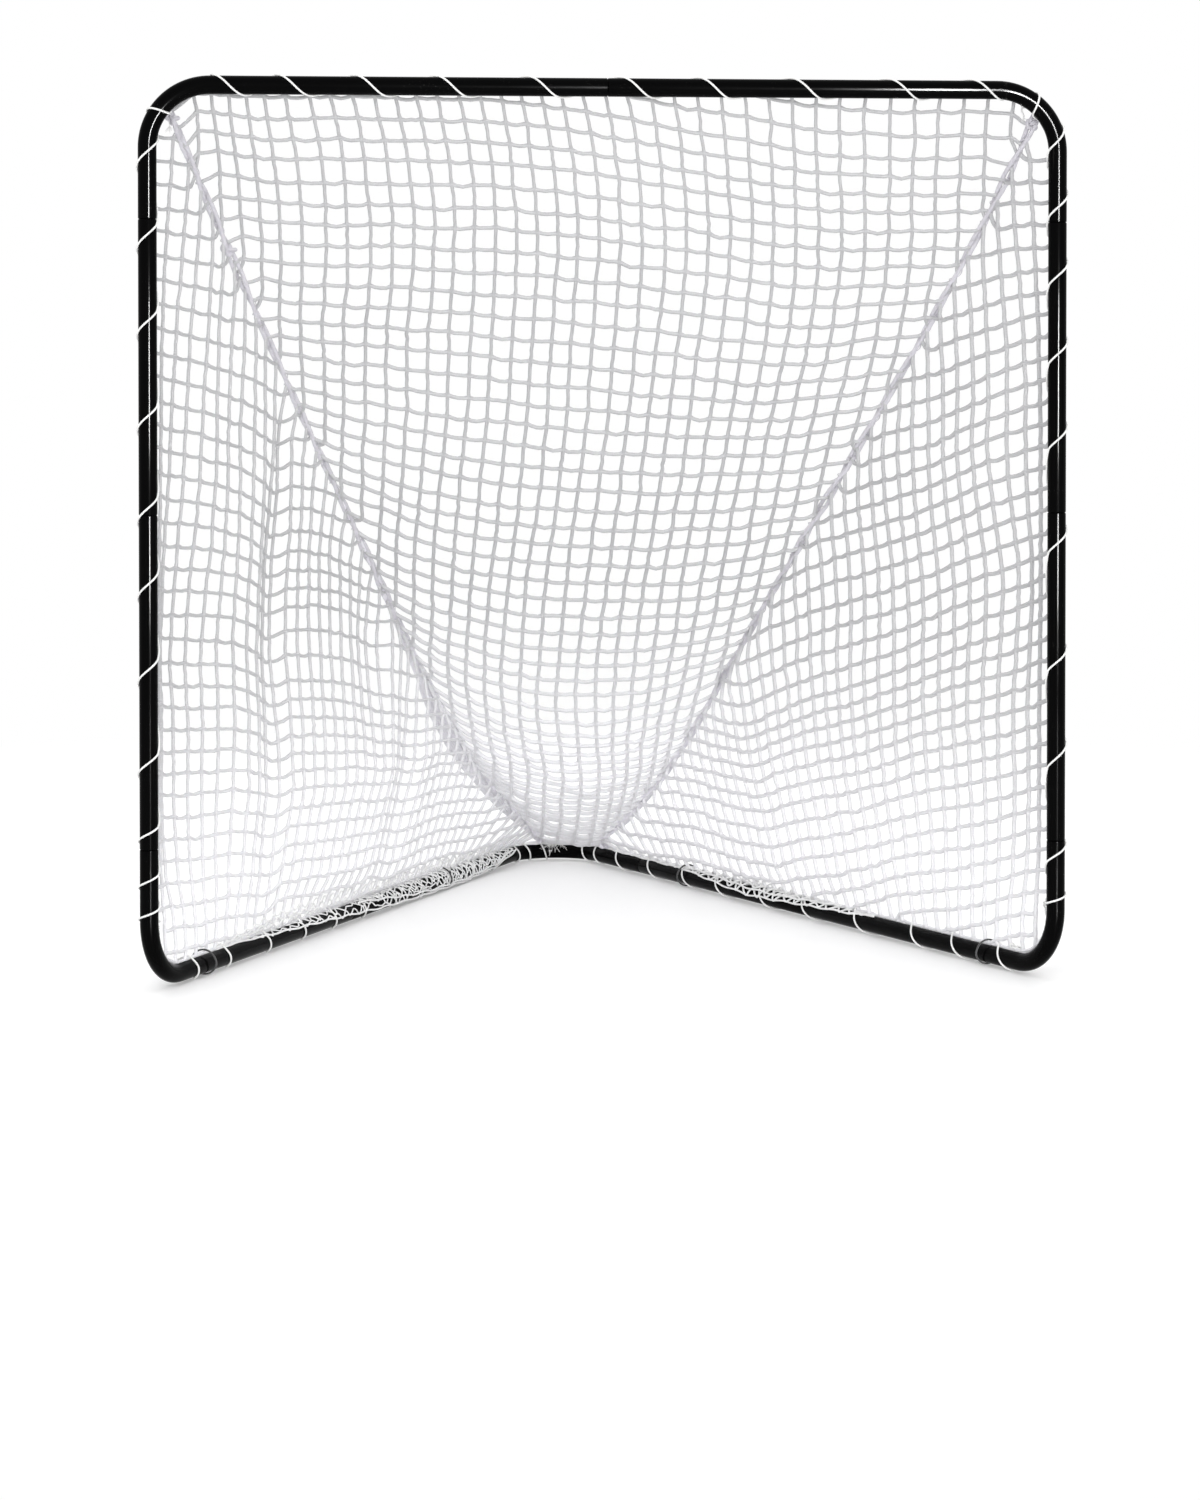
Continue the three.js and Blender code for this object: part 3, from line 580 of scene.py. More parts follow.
def tubePiece(node, start, corner, end, bendNormal, maleStart, maleEnd, holes):
    # Rings round the route: the outside from start to end, and the bore back from end to start
    route = bentRoute(start, corner, end)
    ways = unit(np.gradient(route, axis=0))
    ways[0], ways[-1] = unit(route[1] - route[0]), unit(route[-1] - route[-2])
    startPoints, startOuter, startInner = endStations(route[0], -ways[0], maleStart)
    endPoints, endOuter, endInner = endStations(route[-1], ways[-1], maleEnd)
    middle = route.copy()  # its first and last stations move in where a lip needs the room
    middle[0] += 0 if maleStart else ways[0] * 2 * tube["lipRadius"]
    middle[-1] -= 0 if maleEnd else ways[-1] * 2 * tube["lipRadius"]
    line = np.concatenate([startPoints[::-1], middle, endPoints])
    tangent = np.concatenate([np.repeat(ways[:1], len(startPoints), 0), ways,
                              np.repeat(ways[-1:], len(endPoints), 0)])
    outer = np.concatenate([startOuter[::-1], np.full(len(middle), tubeRadius), endOuter])
    inner = np.concatenate([startInner[::-1], np.full(len(middle), tubeRadius - tubeWall), endInner])
    inner = np.minimum(inner, outer - tubeWall * tube["leastWall"])
    normal = np.broadcast_to(bendNormal, line.shape)
    ring = circle(tube["sides"], normal[:, None], np.cross(tangent, normal)[:, None])
    outside, inside = (line[:, None] + ring * radius[:, None, None] for radius in (outer, inner))
    rows = np.concatenate([outside, inside[::-1]])
    quads = gridQuads(len(rows), tube["sides"], True)
    piece = meshPiece("tube_" + node, rows.reshape(-1, 3), quads, sharpAngle=tube["sharpFrom"])
    drill(piece, holes)
    dress(piece, paint, "tube_paint", node)


def drill(piece, holes):
    # A round cutter for each hole, from inside the bore to outside the tube
    cutters = []
    for place in holes:
        skein = Skein()
        line = place["centre"] + place["facing"] * np.array(tube["holeReach"])[:, None]
        skein.add(line, place["inside"], tube["holeRadius"], tube["holeSides"])
        cutters.append(skein.piece("drill"))
        cut = piece.modifiers.new("hole", "BOOLEAN")
        cut.operation, cut.solver, cut.object = "DIFFERENCE", "EXACT", cutters[-1]
    bpy.context.view_layer.update()
    evaluated = piece.evaluated_get(bpy.context.evaluated_depsgraph_get())
    drilled = bpy.data.meshes.new_from_object(evaluated)
    piece.modifiers.clear()
    piece.data = drilled
    drilled.set_sharp_from_angle(angle=tube["sharpFrom"])
    for cutter in cutters:
        bpy.data.objects.remove(cutter)


def joint(seamPoint, intoFemale, facing):
    # A button's place on the axis, a little way into the female tube, and the way that it faces
    intoFemale = np.asarray(intoFemale, float)
    facing = unit(np.asarray(facing, float))
    return {"centre": seamPoint + intoFemale * tube["buttonInset"], "inside": -intoFemale, "facing": facing}


cornerSeam = barHeight + tubeRadius - tube["cornerShortLeg"]
middleSeam = cornerSeam - tube["postUpperLength"]
footSeam = baseHeight - tubeRadius + tube["cornerShortLeg"]
baseSeam = tube["cornerBaseLeg"] - tubeRadius
rearSeam = baseSeam + tube["baseRearLength"]
barMiddle = np.array([0.0, postY, barHeight])
joints = {"crossbar": joint(barMiddle, (-1, 0, 0), (0, 1, 1))}
for word, side in sideWords.items():
    way, outward = armWay(side), armOut(side)
    joints["post_top_" + word] = joint(postPoint(side, cornerSeam), up, back)
    joints["post_middle_" + word] = joint(postPoint(side, middleSeam), -up, back)
    joints["post_foot_" + word] = joint(postPoint(side, footSeam), -up, back)
    joints["base_front_" + word] = joint(armPoint(side, baseSeam), -way, outward + up)
    joints["base_rear_" + word] = joint(armPoint(side, rearSeam), way, outward + up)

for word, side in sideWords.items():
    outward = armOut(side)
    top, middle, foot, front, rear = (joints[place + "_" + word] for place in
                                      ("post_top", "post_middle", "post_foot", "base_front", "base_rear"))
    legEnd = barMiddle + np.array([joinOffset if side > 0 else 0.0, 0, 0])  # the right corner has the male end
    tubePiece("corner_top_" + word, postPoint(side, cornerSeam), postPoint(side, barHeight), legEnd, back,
              False, side > 0, (top, joints["crossbar"]))
    tubePiece("post_upper_" + word, postPoint(side, middleSeam + joinOffset), None,
              postPoint(side, cornerSeam - joinOffset), back, True, True, (top, middle))
    tubePiece("post_lower_" + word, postPoint(side, footSeam + joinOffset), None,
              postPoint(side, middleSeam), back, True, False, (middle, foot))
    tubePiece("corner_bottom_" + word, postPoint(side, footSeam), postPoint(side, baseHeight),
              armPoint(side, baseSeam), outward, False, False, (foot, front))
    tubePiece("base_rear_" + word, armPoint(side, baseSeam + joinOffset), None,
              armPoint(side, rearSeam - joinOffset), outward, True, True, (front, rear))
rearCorner = np.array([0.0, postY + armLength * armCos + bendRadius * armCos ** 2 / armSin, baseHeight])
tubePiece("rear_v_tube", armPoint(-1, rearSeam), rearCorner, armPoint(1, rearSeam), up, False, False,
          (joints["base_rear_left"], joints["base_rear_right"]))
print("tubes made")


# Snap buttons and the hairpin springs under them

button = {
    "radius": 0.0042,
    "standOut": 0.005,
    "dome": 0.0022,
    "domeSteps": 14,
    "edge": 0.0005,
    "edgeSteps": 5,
    "bottomEdge": 0.0003,
    "sides": 40,
    "sharpFrom": math.radians(50),
    "clearance": 0.0003,
    "springThickness": 0.0008,
    "springWidth": 0.009,
    "springReach": 0.040,
    "springTail": 0.007,
    "springEdge": 0.25,  # of its thickness
    "springSharpFrom": math.radians(35),
    "bendRadius": 0.003,
    "bendSteps": 17,
    "seat": 0.010,
    "travel": 0.0068,
}
room = tube["maleRadius"] - tubeWall - button["clearance"]
leafHeight = math.sqrt(room ** 2 - (button["springWidth"] / 2) ** 2) - button["springThickness"] / 2


def weld(piece):
    # Points at one place made one, faces without area taken out, and all faces turned outwards
    work = bmesh.new()
    work.from_mesh(piece.data)
    bmesh.ops.remove_doubles(work, verts=work.verts, dist=weldReach)
    bmesh.ops.dissolve_degenerate(work, edges=work.edges, dist=leastEdge)
    bmesh.ops.recalc_face_normals(work, faces=work.faces)
    work.to_mesh(piece.data)
    work.free()
    piece.data.shade_smooth()


def turnedPiece(name, profile, sides, origin, axis, sharpAngle):
    # A profile of radius and height, turned round an axis; its first and last points may lie on the axis
    radius, height = np.asarray(profile, float).T[..., None, None]
    axis = unit(np.asarray(axis, float))
    across = unit(np.cross(axis, up if abs(axis[2]) < steepFrom else back))
    rings = origin + circle(sides, across, np.cross(axis, across)) * radius + axis * height
    piece = meshPiece(name, rings.reshape(-1, 3), gridQuads(len(profile), sides))
    weld(piece)
    piece.data.set_sharp_from_angle(angle=sharpAngle)
    return piece


def buttonPiece(name, place):
    # A flat foot on the spring, a straight side, an edge rounded by a quarter circle and a dome by a quarter
    # ellipse
    radius, edge, foot, dome = button["radius"], button["edge"], button["bottomEdge"], button["dome"]
    bottom = leafHeight + button["springThickness"] / 2 + button["clearance"]
    shoulder = tubeRadius + button["standOut"] - dome
    lip, turn = (np.linspace(0, np.pi / 2, button[steps]) for steps in ("edgeSteps", "domeSteps"))
    lip = lip[:-1]
    profile = [(0, bottom), (radius - foot, bottom), (radius, bottom + foot)]
    profile += list(zip(radius - edge + edge * np.cos(lip), shoulder - edge + edge * np.sin(lip)))
    profile += list(zip((radius - edge) * np.cos(turn), shoulder + dome * np.sin(turn)))
    piece = turnedPiece("button_cap_" + name, profile, button["sides"], place["centre"], place["facing"],
                        button["sharpFrom"])
    dress(piece, chrome, "button_chrome", "snap_button_" + name, body="button_" + name)


def springPiece(name, place):
    # A strip carried along a hairpin: out on the button's leaf, half a turn, and back along the far wall
    thickness, bend = button["springThickness"], button["bendRadius"]
    turn = np.linspace(np.pi / 2, -np.pi / 2, button["bendSteps"])
    leaf = [-button["springTail"], 0, button["seat"]]
    x = np.concatenate([leaf, button["springReach"] - bend + bend * np.cos(turn), leaf[::-1]])
    y = np.concatenate([[leafHeight] * 3, bend * np.sin(turn), [-leafHeight] * 3])
    line = place["centre"] + x[:, None] * place["inside"] + y[:, None] * place["facing"]
    across = unit(np.cross(place["inside"], place["facing"]))
    out = unit(np.cross(across, unit(np.gradient(line, axis=0))))
    half, edge = button["springWidth"] / 2, thickness * button["springEdge"]
    low, high, wide, narrow = thickness / 2 - edge, thickness / 2, half, half - edge
    section = [(-wide, -low), (-narrow, -high), (narrow, -high), (wide, -low),
               (wide, low), (narrow, high), (-narrow, high), (-wide, low)]
    rings = np.stack([line + across * sideways + out * lift for sideways, lift in section], axis=1)
    count = len(section)
    fan, last = np.arange(1, count - 1), (len(line) - 1) * count
    caps = np.concatenate([columns(0, fan + 1, fan), columns(last, last + fan, last + fan + 1)])
    piece = meshPiece("leaf_spring_" + name, rings.reshape(-1, 3), gridQuads(len(line), count), caps)
    weld(piece)
    piece.data.set_sharp_from_angle(angle=button["springSharpFrom"])
    dress(piece, steel, "spring_steel", "clip_spring_" + name)
    span = 2 * leafHeight + thickness
    anchor = place["centre"] - place["facing"] * span / 2
    "press_" + name
    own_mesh(piece)


for name, place in joints.items():
    buttonPiece(name, place)
    springPiece(name, place)
print("buttons and springs made")


# The seams between the net's panels, and the surfaces that the panels hang on

seam = {
    "sag": {-1: 0.155, 1: 0.215},
    "lowerShare": 0.2,
    "inward": 0.042,
    "rimPlace": {-1: 2.065, 1: 1.905},
    "lift": 0.00604,
    "pullShares": (0, 0.1, 0.2, 0.3, 0.4, 0.5, 0.6, 0.7, 0.8, 0.9, 0.96, 1),
    "pull": {
        -1: (0, -0.009, -0.017, -0.023, -0.027, -0.034, -0.042, -0.046, -0.042, -0.012, -0.003, 0),
        1: (0.004, 0.003, -0.009, -0.025, -0.040, -0.046, -0.042, -0.032, -0.029, -0.036, -0.040, 0),
    },
}
bendMiddle = bendRadius * (1 - math.sqrt(0.5))
seamTop = np.array([halfMouth - bendMiddle, postY + tubeRadius + seam["lift"], barHeight - bendMiddle])
seamLift = up * (tubeRadius + seam["lift"])
seamEnd = {side: rimPoint(side, np.array([place]))[0][0] * np.array([side, 1, 1]) + seamLift
           for side, place in seam["rimPlace"].items()}


def seamAt(side, share):
    # A straight line from top to end, drawn in and hung down by 4t(1 - t), a little more below the middle,
    # and pulled sideways where the panels tug at it
    pull = np.interp(share, seam["pullShares"], seam["pull"][side])
    share = np.asarray(share, float)[..., None]
    hang = 4 * share * (1 - share) * (1 + seam["lowerShare"] * (2 * share - 1))
    point = seamTop * (1 - share) + seamEnd[side] * share
    point = (point - hang * np.array([seam["inward"], 0, seam["sag"][side]])) * np.array([side, 1, 1])
    point[..., 0] += pull
    return point


net = {
    "twineRadius": {"top": 0.0039, "bottom": 0.0056, -1: 0.0040, 1: 0.0048},
    "knotSwell": 0.16,
    "sides": 6,
    "steps": 4,
    "jitter": 0.0009,
    "bow": 0.0005,
    "scallop": 0.0032,
    "scallopSpread": (0.3, 1.5),
    "scallopMesh": 0.04,  # the mesh that hangs by the whole scallop
    "scallopShares": (0.2, 1.2),  # the least and the most that another mesh hangs by
    "borderRadius": 0.0036,
    "borderBow": 0.0003,
    "wave": 0.0012,
    "waves": ((21, 30), (17, 37), (29, -45)),  # radians per metre across and per whole way down, for x, y and z
    "stillTo": 0.02,  # the share of the way down over which the net comes free of the crossbar
    "barGap": 0.003,
    "seamGap": 0.010,
    "tableParts": 1000,  # the tables of tilt, lean and bulge are in thousandths of the way down or of a metre
    "rowNumbers": (-1, 1, 4, 7, 10, 13, 16, 19, 22, 25, 28, 31, 34, 37, 40, 43, 53),
    "rowShares": (-0.018, 0.0133, 0.0585, 0.1093, 0.166, 0.2246, 0.2774, 0.3324, 0.3951, 0.4619, 0.522, 0.5758,
                  0.6487, 0.7059, 0.7595, 0.810, 0.992),
    "tiltShares": (0.013, 0.0585, 0.109, 0.166, 0.225, 0.277, 0.332, 0.395, 0.462, 0.55),
    "tiltAcross": (-0.62, -0.50, -0.375, -0.25, -0.12, 0, 0.12, 0.23, 0.35, 0.47, 0.59),
    "tilt": (  # thousandths of the way down by which a row lies lower there
        (-7, -7.5, -6, -6, -1.5, 4, 12, 17, 24, 29, 31),
        (-8.5, -8, -8, -7, -3, 2.5, 9, 14, 21, 23, 25),
        (-6, -7, -5, -5, -1.5, 4, 8, 14, 18, 22, 21),
        (-6.5, -8.5, -5.5, -4, -1.5, 1.5, 6.5, 10, 15, 17, 12),
        (-11, -9, -8, -3.5, -1, 1.5, 5.5, 7.5, 11.5, 8, 4),
        (-12.5, -10.5, -5.5, -4, 0, 3.5, 4, 8, 8, 9, 3),
        (-13, -13, -9.5, -6, -1, 0, 5.5, 5.5, 8.5, 10, 8),
        (-16, -16, -10, -4, -2.5, 1.5, 4, 5, 6.5, 5, 3),
        (-7, -7, -7, -5, -0.5, -2, 1.5, 3.5, 2, 0, 0),
        (0,) * 11,
    ),
    "columnNumbers": (0, 1, 2, 3, 4, 5, 6, 7, 8, 9, 12, 15, 18, 21, 24, 27, 30, 32, 37),
    "columnPlaces": (-0.8474, -0.812, -0.778, -0.7427, -0.7066, -0.6635, -0.6161, -0.5732, -0.5272, -0.482, -0.354,
                     -0.223, -0.097, 0.038, 0.184, 0.332, 0.482, 0.588, 0.845),
    "leanShares": (0, 0.007, 0.028, 0.049, 0.072, 0.0955, 0.12, 0.147, 0.2015, 0.27, 0.344, 0.437, 0.534, 0.584, 0.66,
                   0.74, 1),
    "leanAcross": (-0.85, -0.70, -0.56, -0.39, -0.17, 0.05, 0.335, 0.535, 0.80),
    "lean": (  # millimetres by which a column stands to the right there of where it leaves the crossbar
        (0, 5, 9, 13, 15, 17) + (18,) * 11,
        (0, 9, 18, 26, 32, 35, 37, 36, 33) + (36,) * 8,
        (0, 9, 25, 35, 40, 44, 47, 45, 31, 36, 30, 27, 24, 24, 24, 24, 24),
        (0, 9, 24, 34, 43, 49, 48, 49, 41, 40, 26, 18, 19, 19, 29, 54, 85),
        (0, 9, 23, 34, 42, 48, 51, 51, 49, 45, 32, 18, 11, 10, 27, 49, 75),
        (0, 9, 24, 36, 45, 52, 57, 56, 52, 47, 36, 22, 14, 15, 27, 47, 50),
        (0, 4, 12, 21, 29, 38, 40, 43, 38, 22, 5, -10, -24, -32, -46, -60, -90),
        (0, 2, 7, 13, 18, 27, 32, 34, 28, 8, -8, -23, -38, -50, -60, -70, -120),
        (0, 1, 4, 8, 12, 18, 20, 20, 12, 0, -10, -25, -40, -50, -60, -70, -120),
    ),
    "sagShares": (0, 0.1, 0.22, 0.34, 0.465, 0.53, 0.58, 0.75, 1),
    "sag": (0, 0.0, 0.015, 0.060, 0.066, 0.082, 0.100, 0.070, 0),
    "rightSag": (0, 0.008, 0.010, 0, 0, 0, 0, 0, 0),
    "leftSag": (0, 0, 0, 0.024, 0.015, 0.012, 0.010, 0.006, 0),
    "sideSagPeak": 0.0819,  # the highest that a^4 (1 - a) goes
    "barReach": 0.09,  # the share of the way down over which the panel draws away from the bar's line
    "forward": 0.0015,
    "cornerLift": 0.026,  # how high the rows are drawn up at the left corner
    "cornerReach": 0.17,  # how far along the bar
    "cornerDepth": 0.26,  # and over which share of the way down
}


def quarterCircle(radius, past):
    # How high a circle stands at a distance from its middle: the root of radius squared less distance squared
    return np.sqrt(np.maximum(radius ** 2 - past ** 2, 0))


def backSurface(across, share):
    # Straight from seam to seam, hung by 4a(1 - a) in the middle and by a^4 (1 - a) beside either seam, and drawn
    # up to the line of the crossbar, its bends included, near the top
    left, right = seamAt(-1, share), seamAt(1, share)
    rest = 1 - across
    point = left * rest[..., None] + right * across[..., None]
    shapes = (4 * across * rest, across ** 4 * rest / net["sideSagPeak"], rest ** 4 * across / net["sideSagPeak"])
    drop = sum(np.interp(share, net["sagShares"], net[sag]) * shape
               for sag, shape in zip(("sag", "rightSag", "leftSag"), shapes))
    pastStraight = np.maximum(np.abs(point[..., 0]) - halfMouth + bendRadius, 0)
    barLine = barHeight - bendRadius + quarterCircle(bendRadius, pastStraight)
    lift = (barLine - seamTop[2]) * (1 - ramp(share, net["barReach"])) ** 1.5
    corner = (1 - ramp(point[..., 0] - left[..., 0], net["cornerReach"])) ** 1.5
    drawn = net["cornerLift"] * corner * np.sin(np.pi * ramp(share, net["cornerDepth"]) ** 0.5)
    point[..., 2] += np.maximum(lift, 0) + drawn * ramp(across, net["stillTo"]) - drop
    point[..., 1] -= (1 - ramp(share, net["stillTo"])) * net["forward"]
    return point


def addTwine(skein, knots, facing, radius, wander=net["bow"], scallop=0.0, swell=net["knotSwell"]):
    # A smooth line through its knots, a little bowed, hanging by 4f(1 - f) between one knot and the next, and
    # thicker at each knot
    steps = net["steps"]
    line = curveThrough(knots, steps)
    if scallop:
        part = (np.arange(len(line) - 1) % steps) / steps
        length = np.linalg.norm(np.diff(knots, axis=0), axis=1) / net["scallopMesh"]
        chances = chance.uniform(*net["scallopSpread"], len(knots) - 1)
        depth = scallop * chances * np.clip(length, *net["scallopShares"])
        line[:-1, 2] -= 4 * part * (1 - part) * np.repeat(depth, steps)
    push = chance.normal(0, wander, (len(line), 3))
    push[::steps] = 0
    radii = np.interp(np.arange(len(line)) / steps, np.arange(len(knots)), np.broadcast_to(radius, len(knots)))
    radii[::steps] *= 1 + swell
    skein.add(line + push, facing, radii, net["sides"])


def backNet():
    # Knots where the rows, each tilted by its line of the table, cross the columns, each leaning by its own.
    # A row runs from seam to seam, and a column from the border at the crossbar to the seam between its last
    # two rows
    skein = Skein()
    facing = np.array([0.0, math.sqrt(0.5), math.sqrt(0.5)])
    rowNumbers = np.arange(net["rowNumbers"][0], net["rowNumbers"][-1] + 1)
    shares = np.interp(rowNumbers, net["rowNumbers"], net["rowShares"])
    start = np.interp(np.arange(net["columnNumbers"][-1] + 1), net["columnNumbers"], net["columnPlaces"])
    tilt = between(shares, net["tiltShares"], net["tilt"]).T
    tilt = between(start, net["tiltAcross"], tilt).T / net["tableParts"]
    share = shares[:, None] + tilt
    seen = share > net["barGap"]
    share = np.maximum(share, 0)
    lean = between(start, net["leanAcross"], net["lean"]) / net["tableParts"]
    x = start + np.stack([np.interp(down, net["leanShares"], line) for down, line in zip(share.T, lean)], axis=1)
    left, right = seamAt(-1, share)[..., 0], seamAt(1, share)[..., 0]
    across = (x - left) / (right - left)
    knots = backSurface(np.clip(across, 0, 1), share)
    wave = columns(*[np.sin(x * alongBar + share * down) for alongBar, down in net["waves"]]) * net["wave"]
    noise = chance.normal(0, net["jitter"], knots.shape)
    knots = knots + (noise + wave) * ramp(share, net["stillTo"])[..., None]
    margin = net["seamGap"] / (right - left)
    valid = seen & (across > margin) & (across < 1 - margin)
    border = backSurface((start + seamTop[0]) / (2 * seamTop[0]), np.zeros(len(start)))
    edge = np.concatenate([[seamAt(-1, 0)], border, [seamAt(1, 0)]])
    addTwine(skein, edge, facing, net["borderRadius"], net["borderBow"], swell=0)
    thickness = np.interp(shares, (0, 1), (net["twineRadius"]["top"], net["twineRadius"]["bottom"]))
    for row, rowValid in enumerate(valid):
        numbers = np.flatnonzero(rowValid)
        if len(numbers) < 2:
            continue
        first, last = numbers[0], numbers[-1]
        behindBar = first > 0 and not seen[row, first - 1]
        begin = border[first - 1] if behindBar else seamAt(-1, share[row, first])
        line = np.concatenate([[begin], knots[row, numbers], [seamAt(1, share[row, last])]])
        addTwine(skein, line, facing, thickness[row], scallop=net["scallop"])
    for column, columnValid in enumerate(valid.T):
        rows = np.flatnonzero(columnValid)
        if not len(rows):
            continue
        last = rows[-1]
        line, thick = [border[column], *knots[rows, column]], [thickness[rows[0]], *thickness[rows]]
        if last < len(shares) - 1:
            side = 1 if across[last, column] > 0.5 else -1
            line.append(seamAt(side, (share[last, column] + share[last + 1, column]) / 2))
            thick.append(thick[-1])
        addTwine(skein, line, facing, thick)
    dress(skein.piece("net_back_mesh"), netTwine, "net_twine", "net_back")


backNet()
print("back of the net made")


# A side of the net: rows fall from the post to the seam, columns stand on the base tube

sideNet = {
    "columnPitch": 0.0445,
    "rowPitch": {-1: 0.0478, 1: 0.0446},
    "rowTop": 1.795,
    "rowBottom": 0.05,
    "slopeHeights": {
        -1: (0.0, 0.27, 0.41, 0.54, 0.69, 0.83, 0.99, 1.15, 1.29, 1.43, 1.58),
        1: (0.0, 0.34, 0.49, 0.65, 0.78, 0.91, 1.05, 1.19, 1.32, 1.45, 1.58),
    },
    "slopes": {
        -1: (0.0, 0.056, 0.086, 0.13, 0.17, 0.14, 0.184, 0.19, 0.17, 0.09, 0.0),
        1: (0.20, 0.247, 0.25, 0.28, 0.313, 0.30, 0.275, 0.267, 0.24, 0.15, 0.0),
    },
    "levelFrom": {-1: 1.6, 1: 1.03},
    "reach": {-1: 2.06, 1: 1.905},
    "evenTo": 1.75,
    "shortfall": 0.042,
    "scallop": 0.0030,
    "ripple": 0.004,
    "rowRipple": (14, 5),  # radians per metre along the arm and up
    "columnRipple": (3, 13),
    "stillTo": 0.1,  # the distance from the post over which the net comes free of it
    "stillFrom": 0.03,
    "footGap": 0.008,
    "seamGap": 0.010,
    "leastColumn": 0.02,
    "footHold": 0.10,
    "seamHold": 0.08,
    "postHold": 0.05,
    "leastRise": 0.0001,
    "borderBow": 0.0006,
    "borderInset": 0.001,
    "borderResume": 0.15,
    "borderSteps": (14, 60),  # round the bend beside the post, and along the rest
    "bulgeAt": {  # distances along the arm
        -1: (0.023, 0.068, 0.112, 0.157, 0.201, 0.246, 0.290, 0.335, 0.379, 0.424, 0.468, 0.513, 0.557, 0.65, 0.82,
             0.93, 1.0, 1.10, 1.18, 1.3, 1.9),
        1: (0.023, 0.068, 0.112, 0.157, 0.201, 0.29, 0.379, 0.424, 0.468, 0.513, 0.557, 0.65, 0.82, 1.0, 1.3, 1.9),
    },
    "bulgeHeights": {
        -1: (0.05, 0.35, 0.66, 0.87, 1.13, 1.29, 1.48, 1.75),
        1: (0.05, 0.35, 0.61, 0.84, 1.11, 1.35, 1.75),
    },
    "bulge": {  # millimetres in from the flat panel, one line for each height
        -1: ((0, -6, -8, -6, -4, -2, 0, 2, 6, 8, 5, 8, 10, 14, 20, 20, 20, 14, 16, 12, 0),
             (0, -23, -37, -30, -22, -15, -4, 10, 24, 27, 19, 29, 38, 45, 56, 58, 58, 36, 52, 38, 0),
             (0, -28, -49, -52, -42, -30, -16, -1, 7, 6, -7, -13, 3, 12, 16, -2, 22, 20, 18, 10, 0),
             (0, -32, -44, -39, -28, -11, -4, 3, 8, 7, -10, -19, -4, -6, -10, -6, -4, 0, 0, 0, 0),
             (0, -32, -35, -27, -14, -4, -3, -2, 7, 7, 3, -15, -8, -6) + (0,) * 7,
             (0, -32, -23, -16, -3, -2, 0, 5, 8, 3, 0, -6) + (0,) * 9,
             (0, -26, -16, -10, 0, -5) + (0,) * 15,
             (0, -6, -4) + (0,) * 18),
        1: ((0, -5, -5, -4, -2, 0, 2, 4, 6, 8, 10, 12, 14, 14, 8, 0),
            (0, -16, -18, -14, -8, -2, 4, 10, 14, 20, 26, 30, 33, 34, 20, 0),
            (0, -24, -26, -25, -18, -6, 1, 9, 12, 18, 24, 30, 32, 32, 12, 0),
            (0, -31, -37, -37, -28, -14, -3, 3, 5, 6, 5, 7, 6, 6, 0, 0),
            (0, -36, -29, -14, 1, 6, 7, 12, 12, 14, 10, 4, 0, 0, 0, 0),
            (0, -30, -22, -10, 0, 4, 5, 4) + (0,) * 8,
            (0, -6, -4) + (0,) * 13),
    },
    "dipAt": (0, 0.10, 0.34, 0.43, 0.50, 0.56, 0.66, 0.80, 0.95, 1.02, 1.12, 1.25),
    "dip": {-1: (0, 0.004, 0.0, 0.012, 0.026, 0.002, -0.004, 0, 0.008, 0, 0.010, 0), 1: (0, -0.006) + (0,) * 10},
}


def footHeight(distance):
    # Along the tube's upper edge, up round the bend beside the post
    inner = bendRadius - edgeOffset
    drop = quarterCircle(inner, np.clip(bendRadius - distance, 0, inner))
    return np.where(distance < bendRadius, baseHeight + bendRadius - drop, baseHeight + edgeOffset)


def bulge(side, distance, height):
    # The table is read first along the arm and then, straight between two of its lines, up the panel
    levels = sideNet["bulgeHeights"][side]
    lines = np.stack([np.interp(distance, sideNet["bulgeAt"][side], line) for line in sideNet["bulge"][side]])
    place = np.interp(height, levels, np.arange(len(levels)))
    low = np.clip(np.floor(place).astype(int), 0, len(levels) - 2)
    part = place - low
    first, second = (np.take_along_axis(lines, low[None] + step, 0)[0] for step in (0, 1))
    return (first * (1 - part) + second * part) / net["tableParts"]


def seamShare(side, distance):
    # The place on the seam above a place on the rim: even along the arm, closer together round the rear bend
    evenTo = sideNet["evenTo"]
    evenShare = (evenTo - edgeOffset) / (armLength - sideNet["shortfall"] - edgeOffset)
    return np.interp(distance, (edgeOffset, evenTo, sideNet["reach"][side]), (0, evenShare, 1))


def sideSurface(side, distance, height):
    # Ruled between the base tube and the seam, then bulged, and tied to the post at its front edge
    distance = np.asarray(distance, float)
    share = seamShare(side, distance)
    rim = rimPoint(side, distance.ravel())[0].reshape(distance.shape + (3,))
    foot = columns(rim[..., 0], rim[..., 1], footHeight(distance))
    top = seamAt(side, share)
    rise = np.clip((height - foot[..., 2]) / np.maximum(top[..., 2] - foot[..., 2], sideNet["leastRise"]), 0, 1)
    point = foot * (1 - rise[..., None]) + top * rise[..., None]
    hold = ramp(rise, sideNet["footHold"]) * ramp(1 - rise, sideNet["seamHold"])
    point = point - (bulge(side, distance, height) * hold)[..., None] * armOut(side)
    bendRise = np.clip(height - barHeight + bendRadius, 0, bendRadius)
    postLine = side * (halfMouth - bendRadius + quarterCircle(bendRadius, bendRise))
    near = (1 - ramp(share, sideNet["postHold"])) ** 2
    point[..., 0] = point[..., 0] * (1 - near) + (postLine - side * armSin * distance) * near
    return point


